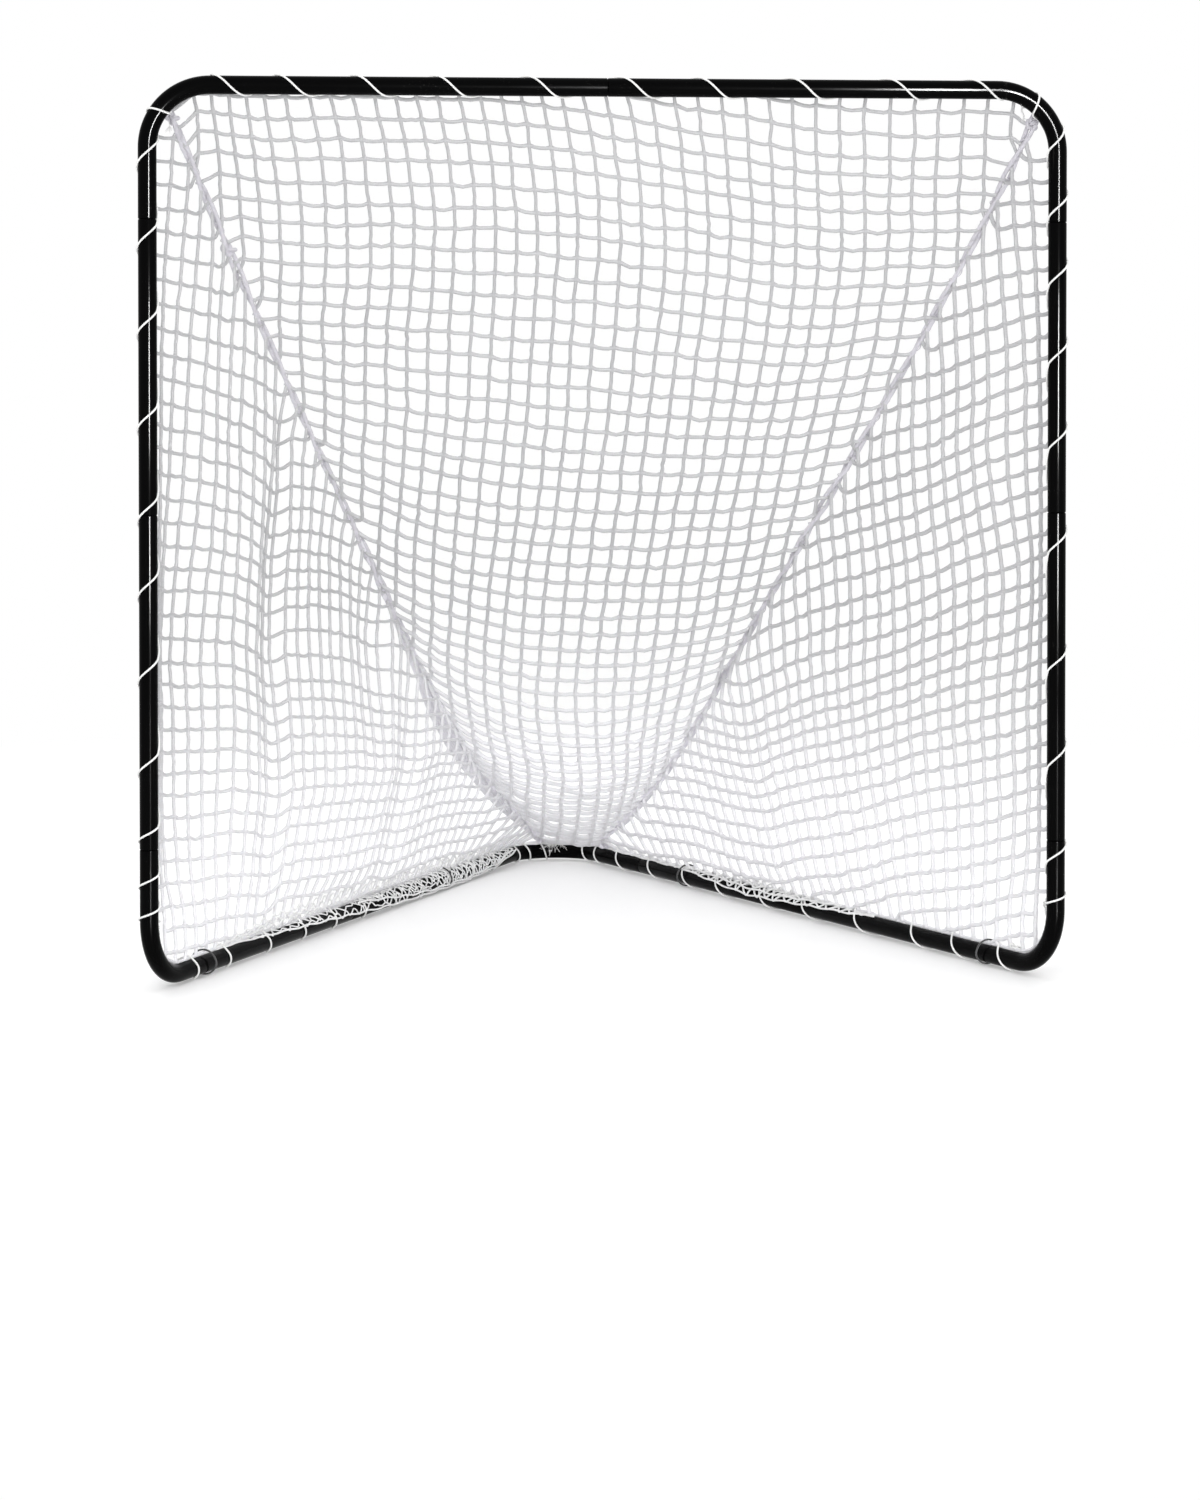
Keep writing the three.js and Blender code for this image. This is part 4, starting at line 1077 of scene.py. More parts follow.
def sideMesh(side, word):
    # Rows fall by their own slope from the post and dip as the table says; both ways ripple a little, as sines
    skein = Skein()
    facing, thick = armOut(side), net["twineRadius"][side]
    distance = np.arange(edgeOffset, sideNet["reach"][side], sideNet["columnPitch"])
    heights = np.arange(sideNet["rowTop"], sideNet["rowBottom"], -sideNet["rowPitch"][side])
    slope = np.interp(heights, sideNet["slopeHeights"][side], sideNet["slopes"][side])
    run = np.minimum(distance, sideNet["levelFrom"][side])
    z = heights[:, None] - slope[:, None] * run - np.interp(distance, sideNet["dipAt"], sideNet["dip"][side])
    d = np.broadcast_to(distance, z.shape)
    (rowAlong, rowUp), (columnAlong, columnUp) = sideNet["rowRipple"], sideNet["columnRipple"]
    ripple = sideNet["ripple"] * np.sin(d * rowAlong + z * rowUp) * ramp(d, sideNet["stillTo"])
    z = z + ripple + chance.normal(0, net["jitter"], z.shape)
    ripple = chance.normal(0, net["jitter"], z.shape) + sideNet["ripple"] * np.sin(z * columnUp + d * columnAlong)
    d = d + ripple * ramp(d - sideNet["stillFrom"], sideNet["stillTo"])
    seamHeight = seamAt(side, seamShare(side, d))[..., 2]
    overSeam = z >= seamHeight - sideNet["seamGap"]
    valid = (z > footHeight(d) + sideNet["footGap"]) & ~overSeam
    knots = sideSurface(side, d, z)
    for row, rowValid in enumerate(valid):
        places = np.flatnonzero(rowValid)
        if len(places) < 2:
            continue
        line, last = list(knots[row, places]), places[-1]
        if last + 1 < len(distance):
            end = (d[row, last:last + 1] + d[row, last + 1]) / 2
            onSeam = overSeam[row, last + 1]
            met = seamAt(side, seamShare(side, end)) if onSeam else sideSurface(side, end, footHeight(end))
            line.append(met[0])
        addTwine(skein, line, facing, thick, scallop=sideNet["scallop"])
    for column, columnValid in enumerate(valid.T):
        place = distance[column:column + 1]
        top, foot = seamAt(side, seamShare(side, place)), footHeight(place)
        if top[0, 2] < foot[0] + sideNet["leastColumn"]:
            continue
        line = np.concatenate([top, knots[columnValid, column], sideSurface(side, place, foot)])
        addTwine(skein, line, facing, thick if column else net["borderRadius"])
    ends = ((edgeOffset + sideNet["borderInset"], bendRadius), (sideNet["borderResume"], sideNet["reach"][side]))
    border = np.concatenate([np.linspace(*span, steps) for span, steps in zip(ends, sideNet["borderSteps"])])
    edge = sideSurface(side, border, footHeight(border))
    addTwine(skein, edge, facing, net["borderRadius"], sideNet["borderBow"], swell=0)
    dress(skein.piece("net_side_mesh_" + word), netTwine, "net_twine", "net_" + word)


for word, side in sideWords.items():
    sideMesh(side, word)
print("sides of the net made")


# Surplus net folded over the base tubes, as bands of slanted meshes that lie on the tube and hang from it

hem = {
    "twineRadius": 0.0017,
    "borderRadius": 0.0022,
    "clear": 0.0006,
    "layer": 0.0036,
    "turnOver": math.radians(78),  # from the top; past it the band hangs straight down
    "standOff": 0.008,
    "leanShare": 0.5,  # how far what stands up leans towards the mouth, as a share of its height
    "step": 6,
    "levelShake": 0.06,
    "overshoot": 1.05,  # the most that a shaken level may come to
    "placeShake": 0.0035,
    "wobble": (0.05, 160),  # a sine's height in radians round the tube, and its radians per metre along it
    "borderWobble": (0.07, 60),
    "borderStep": 0.008,
    "bands": {  # "turn" and "rise" are degrees from the tube's top, down the front and up the net
        -1: ({"span": (0.29, 1.95), "mesh": 0.044, "rows": 5, "phase": 0.0, "thick": 1,
              "at": (0.29, 0.40, 0.52, 0.70, 0.90, 1.10, 1.30, 1.60, 1.80, 1.95),
              "turn": (2, 14, 38, 60, 84, 112, 126, 132, 112, 50),
              "rise": (10, 58, 96, 108, 100, 90, 82, 76, 62, 30)},
             {"span": (0.98, 1.92), "mesh": 0.036, "rows": 4, "phase": 0.4, "thick": 1,
              "at": (0.98, 1.25, 1.40, 1.60, 1.80, 1.92),
              "turn": (36, 92, 108, 112, 92, 40), "rise": (20, 56, 62, 66, 60, 20)}),
        1: ({"span": (0.66, 1.86), "mesh": 0.044, "rows": 2, "phase": 0.0, "thick": 1.4,
             "at": (0.66, 0.75, 0.90, 1.05, 1.18, 1.30, 1.42, 1.50, 1.86),
             "turn": (22, 44, 60, 78, 88, 70, 44, 26, 16), "rise": (0, 6, 10, 14, 18, 22, 24, 24, 16)},
            {"span": (0.80, 1.50), "mesh": 0.050, "rows": 2, "phase": 0.35, "thick": 1.4,
             "at": (0.80, 0.95, 1.10, 1.20, 1.30, 1.50),
             "turn": (14, 40, 52, 50, 34, 12), "rise": (0, 8, 20, 24, 20, 10)}),
    },
    "rearRadius": 0.0024,
    "rearClear": 0.0026,
    "rearStarts": {-1: (1.90, 1.93, 1.96, 1.99), 1: (0.70, 1.30, 1.84, 1.93)},
    "rearOverlap": 0.012,
    "rearStep": 0.006,
    "rearTurn": (0.02, 0.13),  # radians of the first strand, and more for each next one
    "rearSways": ((0.08, 70, 2.2), (0.05, 190, 1)),
    "rearStack": 0.0008,
    "rearLayers": 3,
    "rearLead": (0.05, 0.3),  # the length after which a strand has all its turn, and the share it starts with
}


def hemPoints(side, distance, turn, radius):
    # Round the tube from its top towards the mouth; past the turn-over the length left hangs straight down,
    # and a turn below zero stands straight up along the side of the net
    angle = np.clip(turn, 0, hem["turnOver"])
    hang = np.maximum(turn - hem["turnOver"], 0) * radius
    rise = np.maximum(-turn, 0) * radius
    centre, inward = rimPoint(side, distance)
    out = np.sin(angle)[:, None] * inward + np.cos(angle)[:, None] * up
    point = centre + out * radius + np.minimum(rise * hem["leanShare"], hem["standOff"])[:, None] * inward
    point[:, 2] += rise - hang
    spread = np.maximum(hem["twineRadius"] - point[:, 2], 0)
    point[:, 2] += spread
    return point + spread[:, None] * inward, out


def hemBand(skein, side, band, layer):
    # Line k of the band goes up and down between two levels, half a mesh out of step with the next line
    start, end = band["span"]
    count = int((end - start) / band["mesh"] * 2)
    place = start + (np.arange(count + 1) + band["phase"]) * band["mesh"] / 2
    place = place[place < end]
    thick = hem["twineRadius"] * band["thick"]
    radius = tubeRadius + thick + hem["clear"] + layer * hem["layer"]
    (height, pace), (borderHeight, borderPace) = hem["wobble"], hem["borderWobble"]
    low, high = (np.radians(np.interp(place, band["at"], band[word])) for word in ("rise", "turn"))
    for row in range(band["rows"]):
        level = row + (np.arange(len(place)) + row) % 2
        shake = chance.normal(0, hem["levelShake"], len(place))
        distance = place + chance.normal(0, hem["placeShake"], len(place))
        turn = (low + high) * np.clip(level / band["rows"] + shake, 0, hem["overshoot"]) - low
        path = curveThrough(columns(distance, turn, 0.0), hem["step"])
        rounded = path[:, 1] + height * np.sin(path[:, 0] * pace + row)
        line, facing = hemPoints(side, path[:, 0], rounded, radius)
        skein.add(line, facing, thick, net["sides"], floor=0.0)
    distance = np.linspace(start, end, int((end - start) / hem["borderStep"]))
    turn = np.radians(np.interp(distance, band["at"], band["turn"]))
    turn += borderHeight * np.sin(distance * borderPace)
    line, facing = hemPoints(side, distance, turn, radius + hem["clear"])
    skein.add(line, facing, hem["borderRadius"], net["sides"], floor=0.0)


def hemPiece(side, word):
    # The bands of one side, each laid over the one before
    skein = Skein()
    for layer, band in enumerate(hem["bands"][side]):
        hemBand(skein, side, band, layer)
    # The twine is painted near white, as painted light low down
    dress(skein.piece("net_hem_" + word), paleLitTwine, "net_twine")


def rearHem():
    # The lower edge of the back panel and the ends of the side panels, laid over the rear bend side by side, each
    # turned a little further round the tube than the last and swaying as two sines
    skein = Skein()
    (firstTurn, nextTurn), (leadLength, leadShare) = hem["rearTurn"], hem["rearLead"]
    (slowSway, slowPace, slowLag), (quickSway, quickPace, quickLag) = hem["rearSways"]
    for side, starts in hem["rearStarts"].items():
        for strand, start in enumerate(starts):
            count = int((rearMiddle - start) / hem["rearStep"])
            distance = np.linspace(start, rearMiddle + hem["rearOverlap"], count)
            slow = slowSway * np.sin(distance * slowPace + strand * slowLag + side)
            quick = quickSway * np.sin(distance * quickPace + strand * quickLag)
            full = firstTurn + nextTurn * strand + slow + quick
            turn = full * np.clip((distance - start) / leadLength, leadShare, 1)
            radius = tubeRadius + hem["rearClear"] + hem["rearStack"] * (strand % hem["rearLayers"])
            line, facing = hemPoints(side, distance, turn, radius)
            skein.add(line, facing, hem["rearRadius"], net["sides"])
    # The twine is painted near white, as painted light low down
    dress(skein.piece("net_hem_rear"), paleLitTwine, "net_twine")


for word, side in sideWords.items():
    hemPiece(side, word)
rearHem()
print("hems made")


# Twine ends of both panels drawn together along the lower half of each seam

gathered = {
    "strands": {-1: 11, 1: 6},
    "from": {-1: 0.36, 1: 0.62},
    "full": {-1: 0.70, 1: 0.90},
    "to": 0.985,
    "stagger": 0.022,
    "pitch": 0.0042,
    "twineRadius": 0.0034,
    "outward": np.array([1, 0.2, 1]),  # how much of the arm's outward way the strands lie along
    "stations": 150,
    "sways": (0.0016, 60, 1.9),  # a sine's height, its radians over the seam, and its lag from strand to strand
    "lifts": (0.0012, 38, 2.6),
    "widening": 0.8,
    "endSpread": (0.10, 0.35),  # the share of the seam over which they close up, and how far
}


def acrossSeam(centre, outward):
    # Two directions square to the seam: outward less its part along the seam, and square to both
    tangent = unit(np.gradient(centre, axis=0))
    outward = crossways(np.broadcast_to(outward, centre.shape), tangent)
    return tangent, outward, np.cross(tangent, outward)


def gatherPiece(side, word):
    # Strands side by side, each starting further down and swaying as a sine
    skein = Skein()
    first, full, (closing, closed) = gathered["from"][side], gathered["full"][side], gathered["endSpread"]
    for strand in range(gathered["strands"][side]):
        start = first + gathered["stagger"] * strand
        share = np.linspace(start, gathered["to"], gathered["stations"])
        centre = seamAt(side, share)
        _, outward, third = acrossSeam(centre, armOut(side) * gathered["outward"])
        spread = ramp(share - start, full - start) ** gathered["widening"]
        spread = spread * np.clip((1 - share) / closing, closed, 1)
        sway, lift = (height * np.sin(share * pace + strand * lag)
                      for height, pace, lag in (gathered["sways"], gathered["lifts"]))
        offset = ((strand - 1) * gathered["pitch"] + sway) * spread
        line = centre + offset[:, None] * outward + lift[:, None] * third
        skein.add(line, third, gathered["twineRadius"], net["sides"])
    dress(skein.piece("net_gather_" + word), gatheredTwine, "net_twine")


for word, side in sideWords.items():
    gatherPiece(side, word)


# Seam ropes: two strands that twist loosely about each other, with a lashing round them

rope = {
    "radius": 0.0048,
    "spread": 0.0042,
    "loosen": 0.55,
    "loosenPace": 6.3,
    "twistLength": 0.34,
    "twistSway": (0.8, 5),  # radians that the twist runs ahead and behind, and their radians per metre
    "sides": 10,
    "stations": 320,
    "jitter": 0.00025,
    "lashingRadius": 0.0010,
    "lashingPitch": 0.052,
    "lashingTurn": 0.0080,
    "lashingSteps": 14,
    "lashingSides": 6,
    "lashingMargin": 0.02,
    "knots": {  # share of the seam, size, station that it faces
        -1: ((0.012, 0.0042, 0), (0.987, 0.0046, 0), (0.129, 0.0050, 40)),
        1: ((0.012, 0.0042, 0), (0.987, 0.0046, 0)),
    },
    "knotRadius": 0.9,  # of the strand's
}
knotLook = {"steps": 73, "sides": 8, "depth": 1.2}
yarn = {"steps": 9, "sides": 4, "radius": 0.22, "spread": 0.42, "droop": 0.35, "facing": 0.3, "lowest": 0.001}


def knotLine(centre, axis, across, size):
    # A trefoil: x = sin t + 2 sin 2t, y = cos t - 2 cos 2t, z = -sin 3t
    t = np.linspace(0, fullTurn, knotLook["steps"])[:, None]
    x, y, z = np.sin(t) + 2 * np.sin(2 * t), np.cos(t) - 2 * np.cos(2 * t), -np.sin(3 * t)
    return centre + size * (x * axis + y * across + knotLook["depth"] * z * np.cross(axis, across))


def frayedEnd(skein, start, way, length, radius, strands):
    # A cord's cut end: each fine yarn leans off by the square of the way out and droops by its cube
    share = np.linspace(0, 1, yarn["steps"])[:, None]
    for lean in chance.normal(0, yarn["spread"], (strands, 3)):
        line = start + length * share * (way + lean * share - up * yarn["droop"] * share ** 2)
        line[:, 2] = np.maximum(line[:, 2], yarn["lowest"])
        skein.add(line, up + yarn["facing"] * lean, radius * yarn["radius"], yarn["sides"], floor=0.0)


def seamRope(side, word):
    # Both strands wind round the seam half a turn apart, wider where a sine of the length is above 0
    skein = Skein()
    centre = seamAt(side, np.linspace(0, 1, rope["stations"]))
    tangent, outward, third = acrossSeam(centre, armOut(side))
    travelled = lengthAlong(centre)
    ahead, pace = rope["twistSway"]
    turn = travelled / rope["twistLength"] * fullTurn + ahead * np.sin(travelled * pace)
    loose = np.clip(np.sin(travelled * rope["loosenPace"] + side), 0, 1) ** 2
    spread = rope["spread"] * (1 + rope["loosen"] * loose)
    for phase in (0, np.pi):
        offset = np.cos(turn + phase)[:, None] * outward + np.sin(turn + phase)[:, None] * third
        line = centre + offset * spread[:, None] + chance.normal(0, rope["jitter"], centre.shape)
        skein.add(line, offset, rope["radius"], rope["sides"])
    length, margin, pitch = travelled[-1], rope["lashingMargin"], rope["lashingPitch"]
    wrap = np.linspace(margin, length - margin, int(length / pitch * rope["lashingSteps"]))
    wrapTurn = (wrap / pitch * fullTurn)[:, None]
    place, out, cross = (between(wrap, travelled, line) for line in (centre, outward, third))
    facing = np.cos(wrapTurn) * out + np.sin(wrapTurn) * cross
    skein.add(place + facing * rope["lashingTurn"], facing, rope["lashingRadius"], rope["lashingSides"])
    for share, size, station in rope["knots"][side]:
        knot = knotLine(seamAt(side, share), tangent[station], outward[station], size)
        skein.add(knot, third[station], rope["radius"] * rope["knotRadius"], knotLook["sides"])
    dress(skein.piece("seam_cord_" + word), seamCord, "white_cord", "seam_rope_" + word)


for word, side in sideWords.items():
    seamRope(side, word)
print("seam ropes made")


# Lacing: a cord that crosses the front of a tube at set places and goes behind over the net's border

lacing = {
    "radius": 0.0020,
    "sides": 10,
    "tubeTurn": 0.0212,
    "borderClear": 0.0004,
    "widest": 1.2,  # radians from where the cord leaves the tube, short of where a cosine comes to 0
    "steps": 18,  # for half a turn
    "leadAdvance": 0.010 / 6,  # metres along the tube for each radian between an end and the border
    "tail": 0.035,
    "lastTail": 0.8,  # of the first
    "tailSteps": 9,
    "tailLift": (0.006, 0.8 * np.pi),  # a sine's height, and its radians over the tail
    "tailSway": (0.004, 5),
    "tieRadius": 0.9,
    "tieSides": 8,
    "knotSize": 0.0030,
    "fray": 0.010,
    "yarns": 12,
    "bar": (-0.770, -0.638, -0.481, -0.317, -0.129, 0.061, 0.220, 0.411, 0.612, 0.784),
    "post": {-1: (1.798, 1.702, 1.535, 1.360, 1.168, 0.982, 0.828, 0.655, 0.467, 0.326, 0.230, 0.163),
             1: (1.835, 1.751, 1.617, 1.476, 1.314, 1.137, 0.923, 0.678, 0.480, 0.276, 0.178)},
    "arm": {-1: (0.175, 0.322, 0.514, 0.689, 0.850, 1.010, 1.180, 1.340, 1.500, 1.660, 1.800),
            1: (0.175, 0.344, 0.498, 0.724, 0.944, 1.130, 1.332, 1.490, 1.660, 1.822)},
    "rear": {-1: (0.016, 0.064, 0.116), 1: (-0.010, 0.048)},
    "barAdvance": 0.068,
    "postAdvance": {-1: (0.022, 0.058, 0.058, 0.058, 0.058, 0.058, 0.058, 0.056, 0.050, 0.034, 0.030, 0.024),
                    1: (0.022, 0.050, 0.058, 0.058, 0.058, 0.058, 0.058, 0.056, 0.060, 0.044, 0.022)},
    "armAdvance": {-1: 0.014, 1: 0.052},
    "rearAdvance": 0.026,
    "barFall": np.array([1, 0.3, 0.1]),  # the way that the tails lie
    "postFall": back - up,
    "armDrop": 0.6,
    "rearFall": back - 0.5 * up,
    "frontMiddle": {"upright": 180, -1: 70, 1: 290},  # degrees round the tube from the net's border
}


def hullReach(angle):
    # How far out a taut cord runs round a tube and a smaller cord beside it: its radius on the tube, the tube's
    # radius over the cosine on the line that touches both, and a circle round the smaller cord
    tubeTurn, cordTurn = lacing["tubeTurn"], net["borderRadius"] + lacing["radius"] + lacing["borderClear"]
    touch = math.acos((tubeTurn - cordTurn) / edgeOffset)
    bend = np.abs((angle + np.pi) % fullTurn - np.pi)
    cap = math.atan2(cordTurn * math.sin(touch), edgeOffset + cordTurn * math.cos(touch))
    straight = tubeTurn / np.cos(np.minimum(np.abs(bend - touch), lacing["widest"]))
    onCord = edgeOffset * np.cos(bend) + quarterCircle(cordTurn, edgeOffset * np.sin(bend))
    return np.where(bend >= touch, tubeTurn, np.where(bend >= cap, straight, onCord))


def woundLine(places, advance, rail, netSide, frontMiddle):
    # The half turn in front moves on by its advance, and the rest of the way to the next place is made behind.
    # At both ends the cord goes on to the border of the net.
    places = np.asarray(places, float)
    step = np.broadcast_to(advance, len(places)) / 2
    way = np.sign(places[-1] - places[0])
    share = np.arange(lacing["steps"]) / lacing["steps"]
    front = math.radians(frontMiddle) - np.pi / 2
    lead, trail = max(front, 0.0), max(np.pi - front, 0.0)
    leadReach = way * lacing["leadAdvance"]
    travelled, angle = [], []
    if lead:
        travelled.append(places[0] - way * step[0] - (1 - share) * lead * leadReach)
        angle.append(front - lead * (1 - share))
    for number, place in enumerate(places):
        travelled.append(place + way * (2 * share - 1) * step[number])
        angle.append(front + share * np.pi)
        if number + 1 < len(places):
            first, second = place + way * step[number], places[number + 1] - way * step[number + 1]
            travelled.append(first + (second - first) * share)
            angle.append(front + np.pi + share * np.pi)
    share = np.append(share, 1)
    travelled.append(places[-1] + way * step[-1] + share * trail * leadReach)
    angle.append(front + np.pi + trail * share)
    travelled, angle = np.concatenate(travelled), np.concatenate(angle)[:, None]
    centre, axis = rail(travelled)
    netSide = crossways(netSide, axis)
    facing = np.cos(angle) * netSide + np.sin(angle) * np.cross(axis, netSide)
    return centre + facing * hullReach(angle), facing


def tieOff(skein, point, out, fall, length):
    # An overhand knot on the border of the net, and a tail that lifts and sways as sines, to its frayed end
    across, radius = unit(np.cross(out, fall)), lacing["radius"] * lacing["tieRadius"]
    knot = knotLine(point, unit(fall), across, lacing["knotSize"])
    skein.add(knot, out, radius, knotLook["sides"], floor=0.0)
    share = np.linspace(0, 1, lacing["tailSteps"])[:, None]
    lift, sway = (height * np.sin(share * pace) for height, pace in (lacing["tailLift"], lacing["tailSway"]))
    tail = point + out * lift + fall * length * share + across * sway
    tail[:, 2] = np.maximum(tail[:, 2], lacing["radius"])
    skein.add(tail, out, radius, lacing["tieSides"], floor=0.0)
    frayedEnd(skein, tail[-1], unit(tail[-1] - tail[-2]), lacing["fray"], lacing["radius"], lacing["yarns"])


def addLacing(skein, places, advance, rail, netSide, frontMiddle, fall):
    # The wound cord with a tie at each end
    line, facing = woundLine(places, advance, rail, netSide, lacing["frontMiddle"][frontMiddle])
    skein.add(line, facing, lacing["radius"], lacing["sides"], floor=0.0)
    tieOff(skein, line[0], facing[0], fall, lacing["tail"])
    tieOff(skein, line[-1], facing[-1], fall, lacing["tail"] * lacing["lastTail"])


def lacingPiece(skein, word):
    # All that one lacing's skein holds, as one piece
    dress(skein.piece("cord_" + word), whiteLacing, "white_cord", "lacing_" + word)


def barRail(x):
    # Straight along the crossbar
    return columns(x, postY, barHeight), np.broadcast_to([1.0, 0, 0], (len(x), 3))


def postRail(side, height):
    # Straight down the post, and round the top bend above it as a circle
    turn = np.maximum(height - barHeight + bendRadius, 0) / bendRadius
    reach = halfMouth - bendRadius + bendRadius * np.cos(turn)
    level = np.minimum(height, barHeight - bendRadius) + bendRadius * np.sin(turn)
    return columns(side * reach, postY, level), columns(side * np.sin(turn), 0.0, -np.cos(turn))


def rimRail(side, distance):
    # Along the arm and round the rear bend
    centre, inward = rimPoint(side, distance)
    return centre, unit(np.cross(inward, up) * side)


barCord, rearCord = Skein(), Skein()
addLacing(barCord, lacing["bar"], lacing["barAdvance"], barRail, back, "upright", unit(lacing["barFall"]))
lacingPiece(barCord, "crossbar")
for word, side in sideWords.items():
    postCord, armCord = Skein(), Skein()
    addLacing(postCord, lacing["post"][side], lacing["postAdvance"][side], partial(postRail, side), armWay(side),
              "upright", unit(lacing["postFall"]))
    lacingPiece(postCord, "post_" + word)
    rim = partial(rimRail, side)
    fall = unit(armOut(side) - lacing["armDrop"] * up)
    addLacing(armCord, lacing["arm"][side], lacing["armAdvance"][side], rim, up, side, fall)
    lacingPiece(armCord, "base_" + word)
    rearPlaces = np.array(lacing["rear"][side]) + armLength
    addLacing(rearCord, rearPlaces, lacing["rearAdvance"], rim, up, side, unit(lacing["rearFall"]))

tangle = {  # knots with cut ends where both cords meet: for each its place, two directions, and its end's way
    "place": (-0.004, np.array([0, -0.016, 0.018])),  # from the middle of the rear bend, along it and off it
    "knots": (((-0.009, 0, 0), (1, 0, 0.4), (0.2, -0.5, 0.9), (-0.8, -0.7, -0.2)),
              ((0, 0, 0.002), (1, 0.3, 0.4), (0.2, -0.5, 0.4), (0, -0.7, -0.2)),
              ((0.009, 0, 0.004), (1, 0.6, 0.4), (0.2, -0.5, -0.1), (0.8, -0.7, -0.2))),
    "cordRadius": 0.0017,
    "fray": 0.020,
    "yarns": 10,
}
onward, off = tangle["place"]
tangleMiddle = rimPoint(1, np.array([rearMiddle + onward]))[0][0] + off
for shift, axis, across, way in (np.array(row, float) for row in tangle["knots"]):
    knot = knotLine(tangleMiddle + shift, unit(axis), unit(across), lacing["knotSize"])
    rearCord.add(knot, up, tangle["cordRadius"], knotLook["sides"], floor=0.0)
    frayedEnd(rearCord, tangleMiddle + shift, unit(way), tangle["fray"], lacing["radius"], tangle["yarns"])
lacingPiece(rearCord, "rear")
print("lacing made")


# Ball bungees: a plastic ball on the two ends of an elastic loop

bungee = {
    "cordRadius": 0.002,
    "ballRadius": 0.010,
    "ballSides": 40,
    "ballSteps": 28,
    "boreRadius": 0.0046,
    "boreLip": 0.0005,
    "lipDepth": 0.0006,
    "ridge": 0.012,  # the moulding line round the middle
    "ridgeWidth": 0.05,
    "sharpFrom": math.radians(45),
    "loopTurn": 0.0212,
    "netTurn": 0.0300,
    "loopGap": 0.12,
    "strandGap": 0.0023,
    "endInBall": 0.002,
    "steps": 40,
    "smoothing": 2,
    "nudge": 0.001,  # turns the way that the loop's ring of points faces a little along the tube
    "sides": 10,
    "knotPlace": 0.55,
    "knotSize": 0.0011,
    "knotRadius": 0.6,
}


def ballPiece(label, ball, outward):
    # A circle's arc from one end of the bore to the other, with a bell-shaped ridge at its middle, and the bore
    reach, hole = bungee["ballRadius"], bungee["boreRadius"]
    first = math.asin(hole / reach)
    turn = np.linspace(first, np.pi - first, bungee["ballSteps"])
    ridge = 1 + bungee["ridge"] * np.exp(-((turn - np.pi / 2) / bungee["ridgeWidth"]) ** 2)
    radius, height = reach * np.sin(turn) * ridge, -reach * np.cos(turn)
    lip, inside = reach * math.cos(first) - bungee["lipDepth"], hole - bungee["boreLip"]
    profile = [*zip(radius, height), (inside, lip), (inside, -lip), (radius[0], height[0])]
    piece = turnedPiece("bungee_knob_" + label, profile, bungee["ballSides"], ball, outward, bungee["sharpFrom"])
    dress(piece, ballPlastic, "bungee_ball", "bungee_ball_" + label)


def loopPiece(label, ball, outward, way, centre):
    # A turn round the tube, wider above it where it passes the net, with both ends in the ball and a knot there
    angle = np.linspace(bungee["loopGap"], fullTurn - bungee["loopGap"], bungee["steps"])
    clear = np.minimum(1 + np.sin(angle), 1)
    reach = bungee["loopTurn"] + (bungee["netTurn"] - bungee["loopTurn"]) * clear
    loop = centre + (np.cos(angle) * reach)[:, None] * outward + (np.sin(angle) * reach)[:, None] * up
    inBall, gap = ball + outward * bungee["endInBall"], up * bungee["strandGap"]
    line = curveThrough(np.concatenate([[inBall + gap], loop, [inBall - gap]]), bungee["smoothing"])
    skein = Skein()
    skein.add(line, unit(line - centre) + way * bungee["nudge"], bungee["cordRadius"], bungee["sides"], floor=0.0)
    knot = knotLine(ball + outward * bungee["ballRadius"] * bungee["knotPlace"], outward, up, bungee["knotSize"])
    skein.add(knot, way, bungee["cordRadius"] * bungee["knotRadius"], knotLook["sides"])
    dress(skein.piece("bungee_loop_" + label), elasticCord, "bungee_cord", "bungee_cord_" + label)


for word, side in sideWords.items():
    for label in ("front_" + word, "rear_" + word):
        ball = np.array(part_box("bungee_ball_" + label)).mean(axis=0)
        way = armWay(side)
        centre = armPoint(side, float((ball - postPoint(side, baseHeight)) @ way))
        ballPiece(label, ball, armOut(side))
        loopPiece(label, ball, armOut(side), way, centre)
print("bungees made")


# Studio: white floor that fades into a white backdrop, soft light, and the camera

white = (1.0, 1.0, 1.0, 1.0)
studio = {
    "floorRings": (0.5, 1.5, 3.0, 5.0, 9.0),
    "floorSides": 96,
    "floorColour": (0.90, 0.90, 0.90),
    "floorPatch": 0.985,
    "floorGrain": (35.0, 3.0),
    "floorRoughness": 0.34,
    "grainRoughness": 0.05,
    "floorSpecular": 0.05,
    "floorGlow": 0.15,
    "fade": (2.6, 4.2),  # metres from the middle, from the lit floor to the plain white
    "worldLight": 0.95,
}


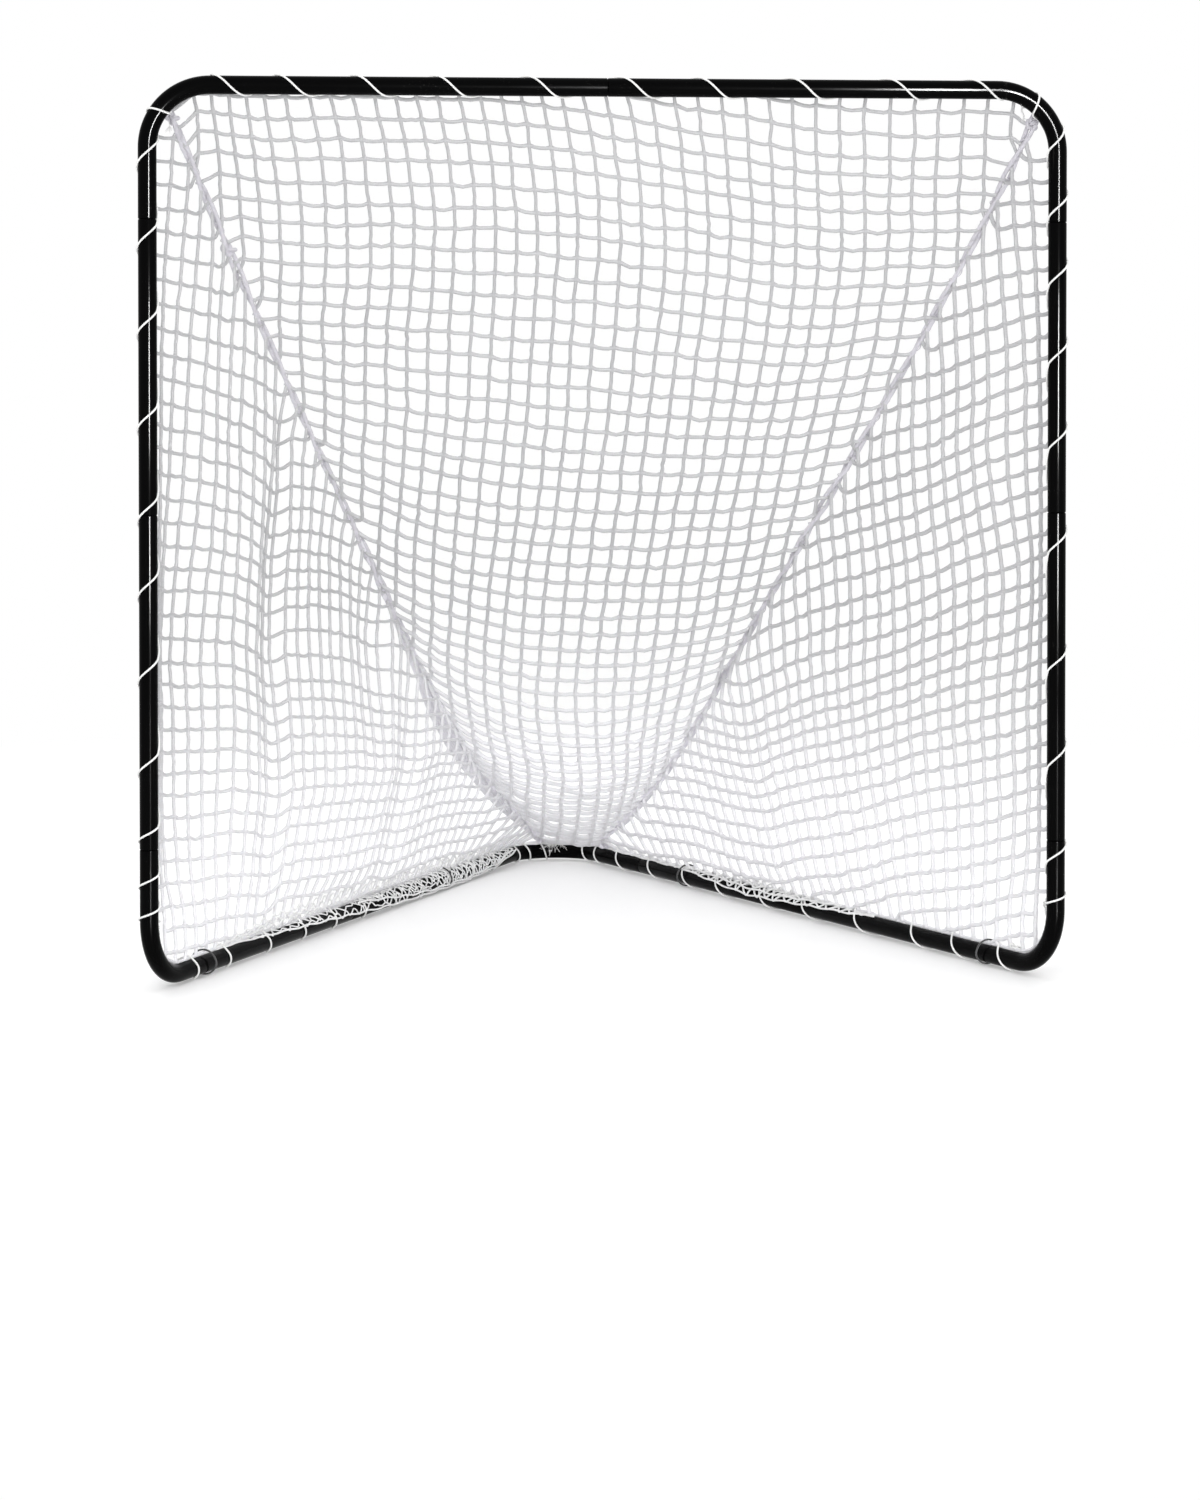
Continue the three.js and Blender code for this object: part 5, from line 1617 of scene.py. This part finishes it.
def floorPiece():
    # Rings of quads round a fan of triangles. The glow and the white only show to the camera, in gloss and in
    # glass
    sides = studio["floorSides"]
    rings = circle(sides, np.array([1.0, 0, 0]), back) * np.array(studio["floorRings"])[:, None, None]
    points = np.concatenate([rings.reshape(-1, 3), [[0, 0, 0]]])
    side = np.arange(sides)
    fan = columns(len(points) - 1, side, (side + 1) % sides)
    piece = meshPiece("studio_floor", points, gridQuads(len(rings), sides)[:, ::-1], fan)
    finish = Finish("white_floor")
    grain = finish.noise(*studio["floorGrain"])
    patch = shaded(studio["floorColour"], studio["floorPatch"])
    piece.data.materials.append(finish.feed(
        baseColour=finish.blendColours(grain, studio["floorColour"], patch),
        roughness=grain * studio["grainRoughness"] + studio["floorRoughness"],
        specular=studio["floorSpecular"],
    ))
    far = finish.node("ShaderNodeVectorMath", {"operation": "LENGTH"}, {0: finish.place()}, 1)
    seen = finish.seen()
    glow = finish.node("ShaderNodeEmission", {}, {"Color": white, "Strength": seen * studio["floorGlow"]})
    lit = finish.node("ShaderNodeAddShader", {}, {0: finish.shader, 1: glow})
    backdrop = finish.node("ShaderNodeEmission", {}, {"Color": white, "Strength": 1.0})
    mixed = finish.node("ShaderNodeMixShader", {}, {0: far.fromTo(*studio["fade"]) * seen, 1: lit, 2: backdrop})
    finish.set(finish.surface, mixed)


def whiteWorld():
    # White where the camera sees it, and a little less as light on the object
    world = bpy.data.worlds.new("studio")
    bpy.context.scene.world = world
    wiring = Wiring(world, "ShaderNodeOutputWorld")
    levels = {"Value": wiring.seen(), "To Min": studio["worldLight"], "To Max": 1.0}
    level = wiring.node("ShaderNodeMapRange", {}, levels)
    wiring.set(wiring.surface, wiring.node("ShaderNodeBackground", {}, {"Color": white, "Strength": level}))


lamps = {  # the strips only show as narrow highlights in the gloss paint
    "overhead": {"place": (0.0, -0.6, 4.6), "aim": (0.0, 0.0, 0.0), "size": (4.0, 4.0), "power": 40,
                 "strip": False},
    "front": {"place": (-1.2, -6.6, 3.4), "aim": (0.0, 0.0, 0.8), "size": (2.4, 1.6), "power": 120,
              "strip": False},
    "post_strip": {"place": (1.55, -6.9, 1.10), "aim": (0.0, -0.9, 1.10), "size": (0.45, 1.8), "power": 3800,
                   "strip": True},
    "crossbar_strip": {"place": (1.68, -6.9, 2.16), "aim": (0.6, -0.9, 1.85), "size": (0.47, 0.12), "power": 420,
                       "strip": True},
}
cameraLook = {
    "place": (-0.5264, postY - 6.782, 1.2485),
    "way": (0.07524, 0.99695, -0.0208),
    "lens": 79.73,
    "sensor": 36.0,
    "shiftY": -0.2,
    "clip": (0.1, 100.0),
}


def aimed(name, data, place, way):
    # A lamp or camera at its place, looking along a direction
    thing = bpy.data.objects.new(name, data)
    thing.location = place
    thing.rotation_mode = "QUATERNION"
    thing.rotation_quaternion = way.to_track_quat("-Z", "Y")
    bpy.context.scene.collection.objects.link(thing)
    return thing


def lampPiece(name, lamp):
    # A rectangle of light; a strip lights nothing and only shows in gloss
    data = bpy.data.lights.new(name, "AREA")
    data.shape = "RECTANGLE"
    data.size, data.size_y = lamp["size"]
    data.energy = lamp["power"]
    light = aimed(name, data, lamp["place"], Vector(lamp["aim"]) - Vector(lamp["place"]))
    light.visible_diffuse, light.visible_glossy = not lamp["strip"], lamp["strip"]


def cameraPiece():
    # Fitted to where the tubes stand in the picture
    data = bpy.data.cameras.new("photo_view")
    data.lens, data.sensor_width = cameraLook["lens"], cameraLook["sensor"]
    data.shift_y = cameraLook["shiftY"]
    data.clip_start, data.clip_end = cameraLook["clip"]
    bpy.context.scene.camera = aimed("photo_view", data, cameraLook["place"], Vector(cameraLook["way"]))


floorPiece()
whiteWorld()
for name, lamp in lamps.items():
    lampPiece(name, lamp)
cameraPiece()
bpy.context.scene.view_settings.view_transform = "Standard"
print("studio made")
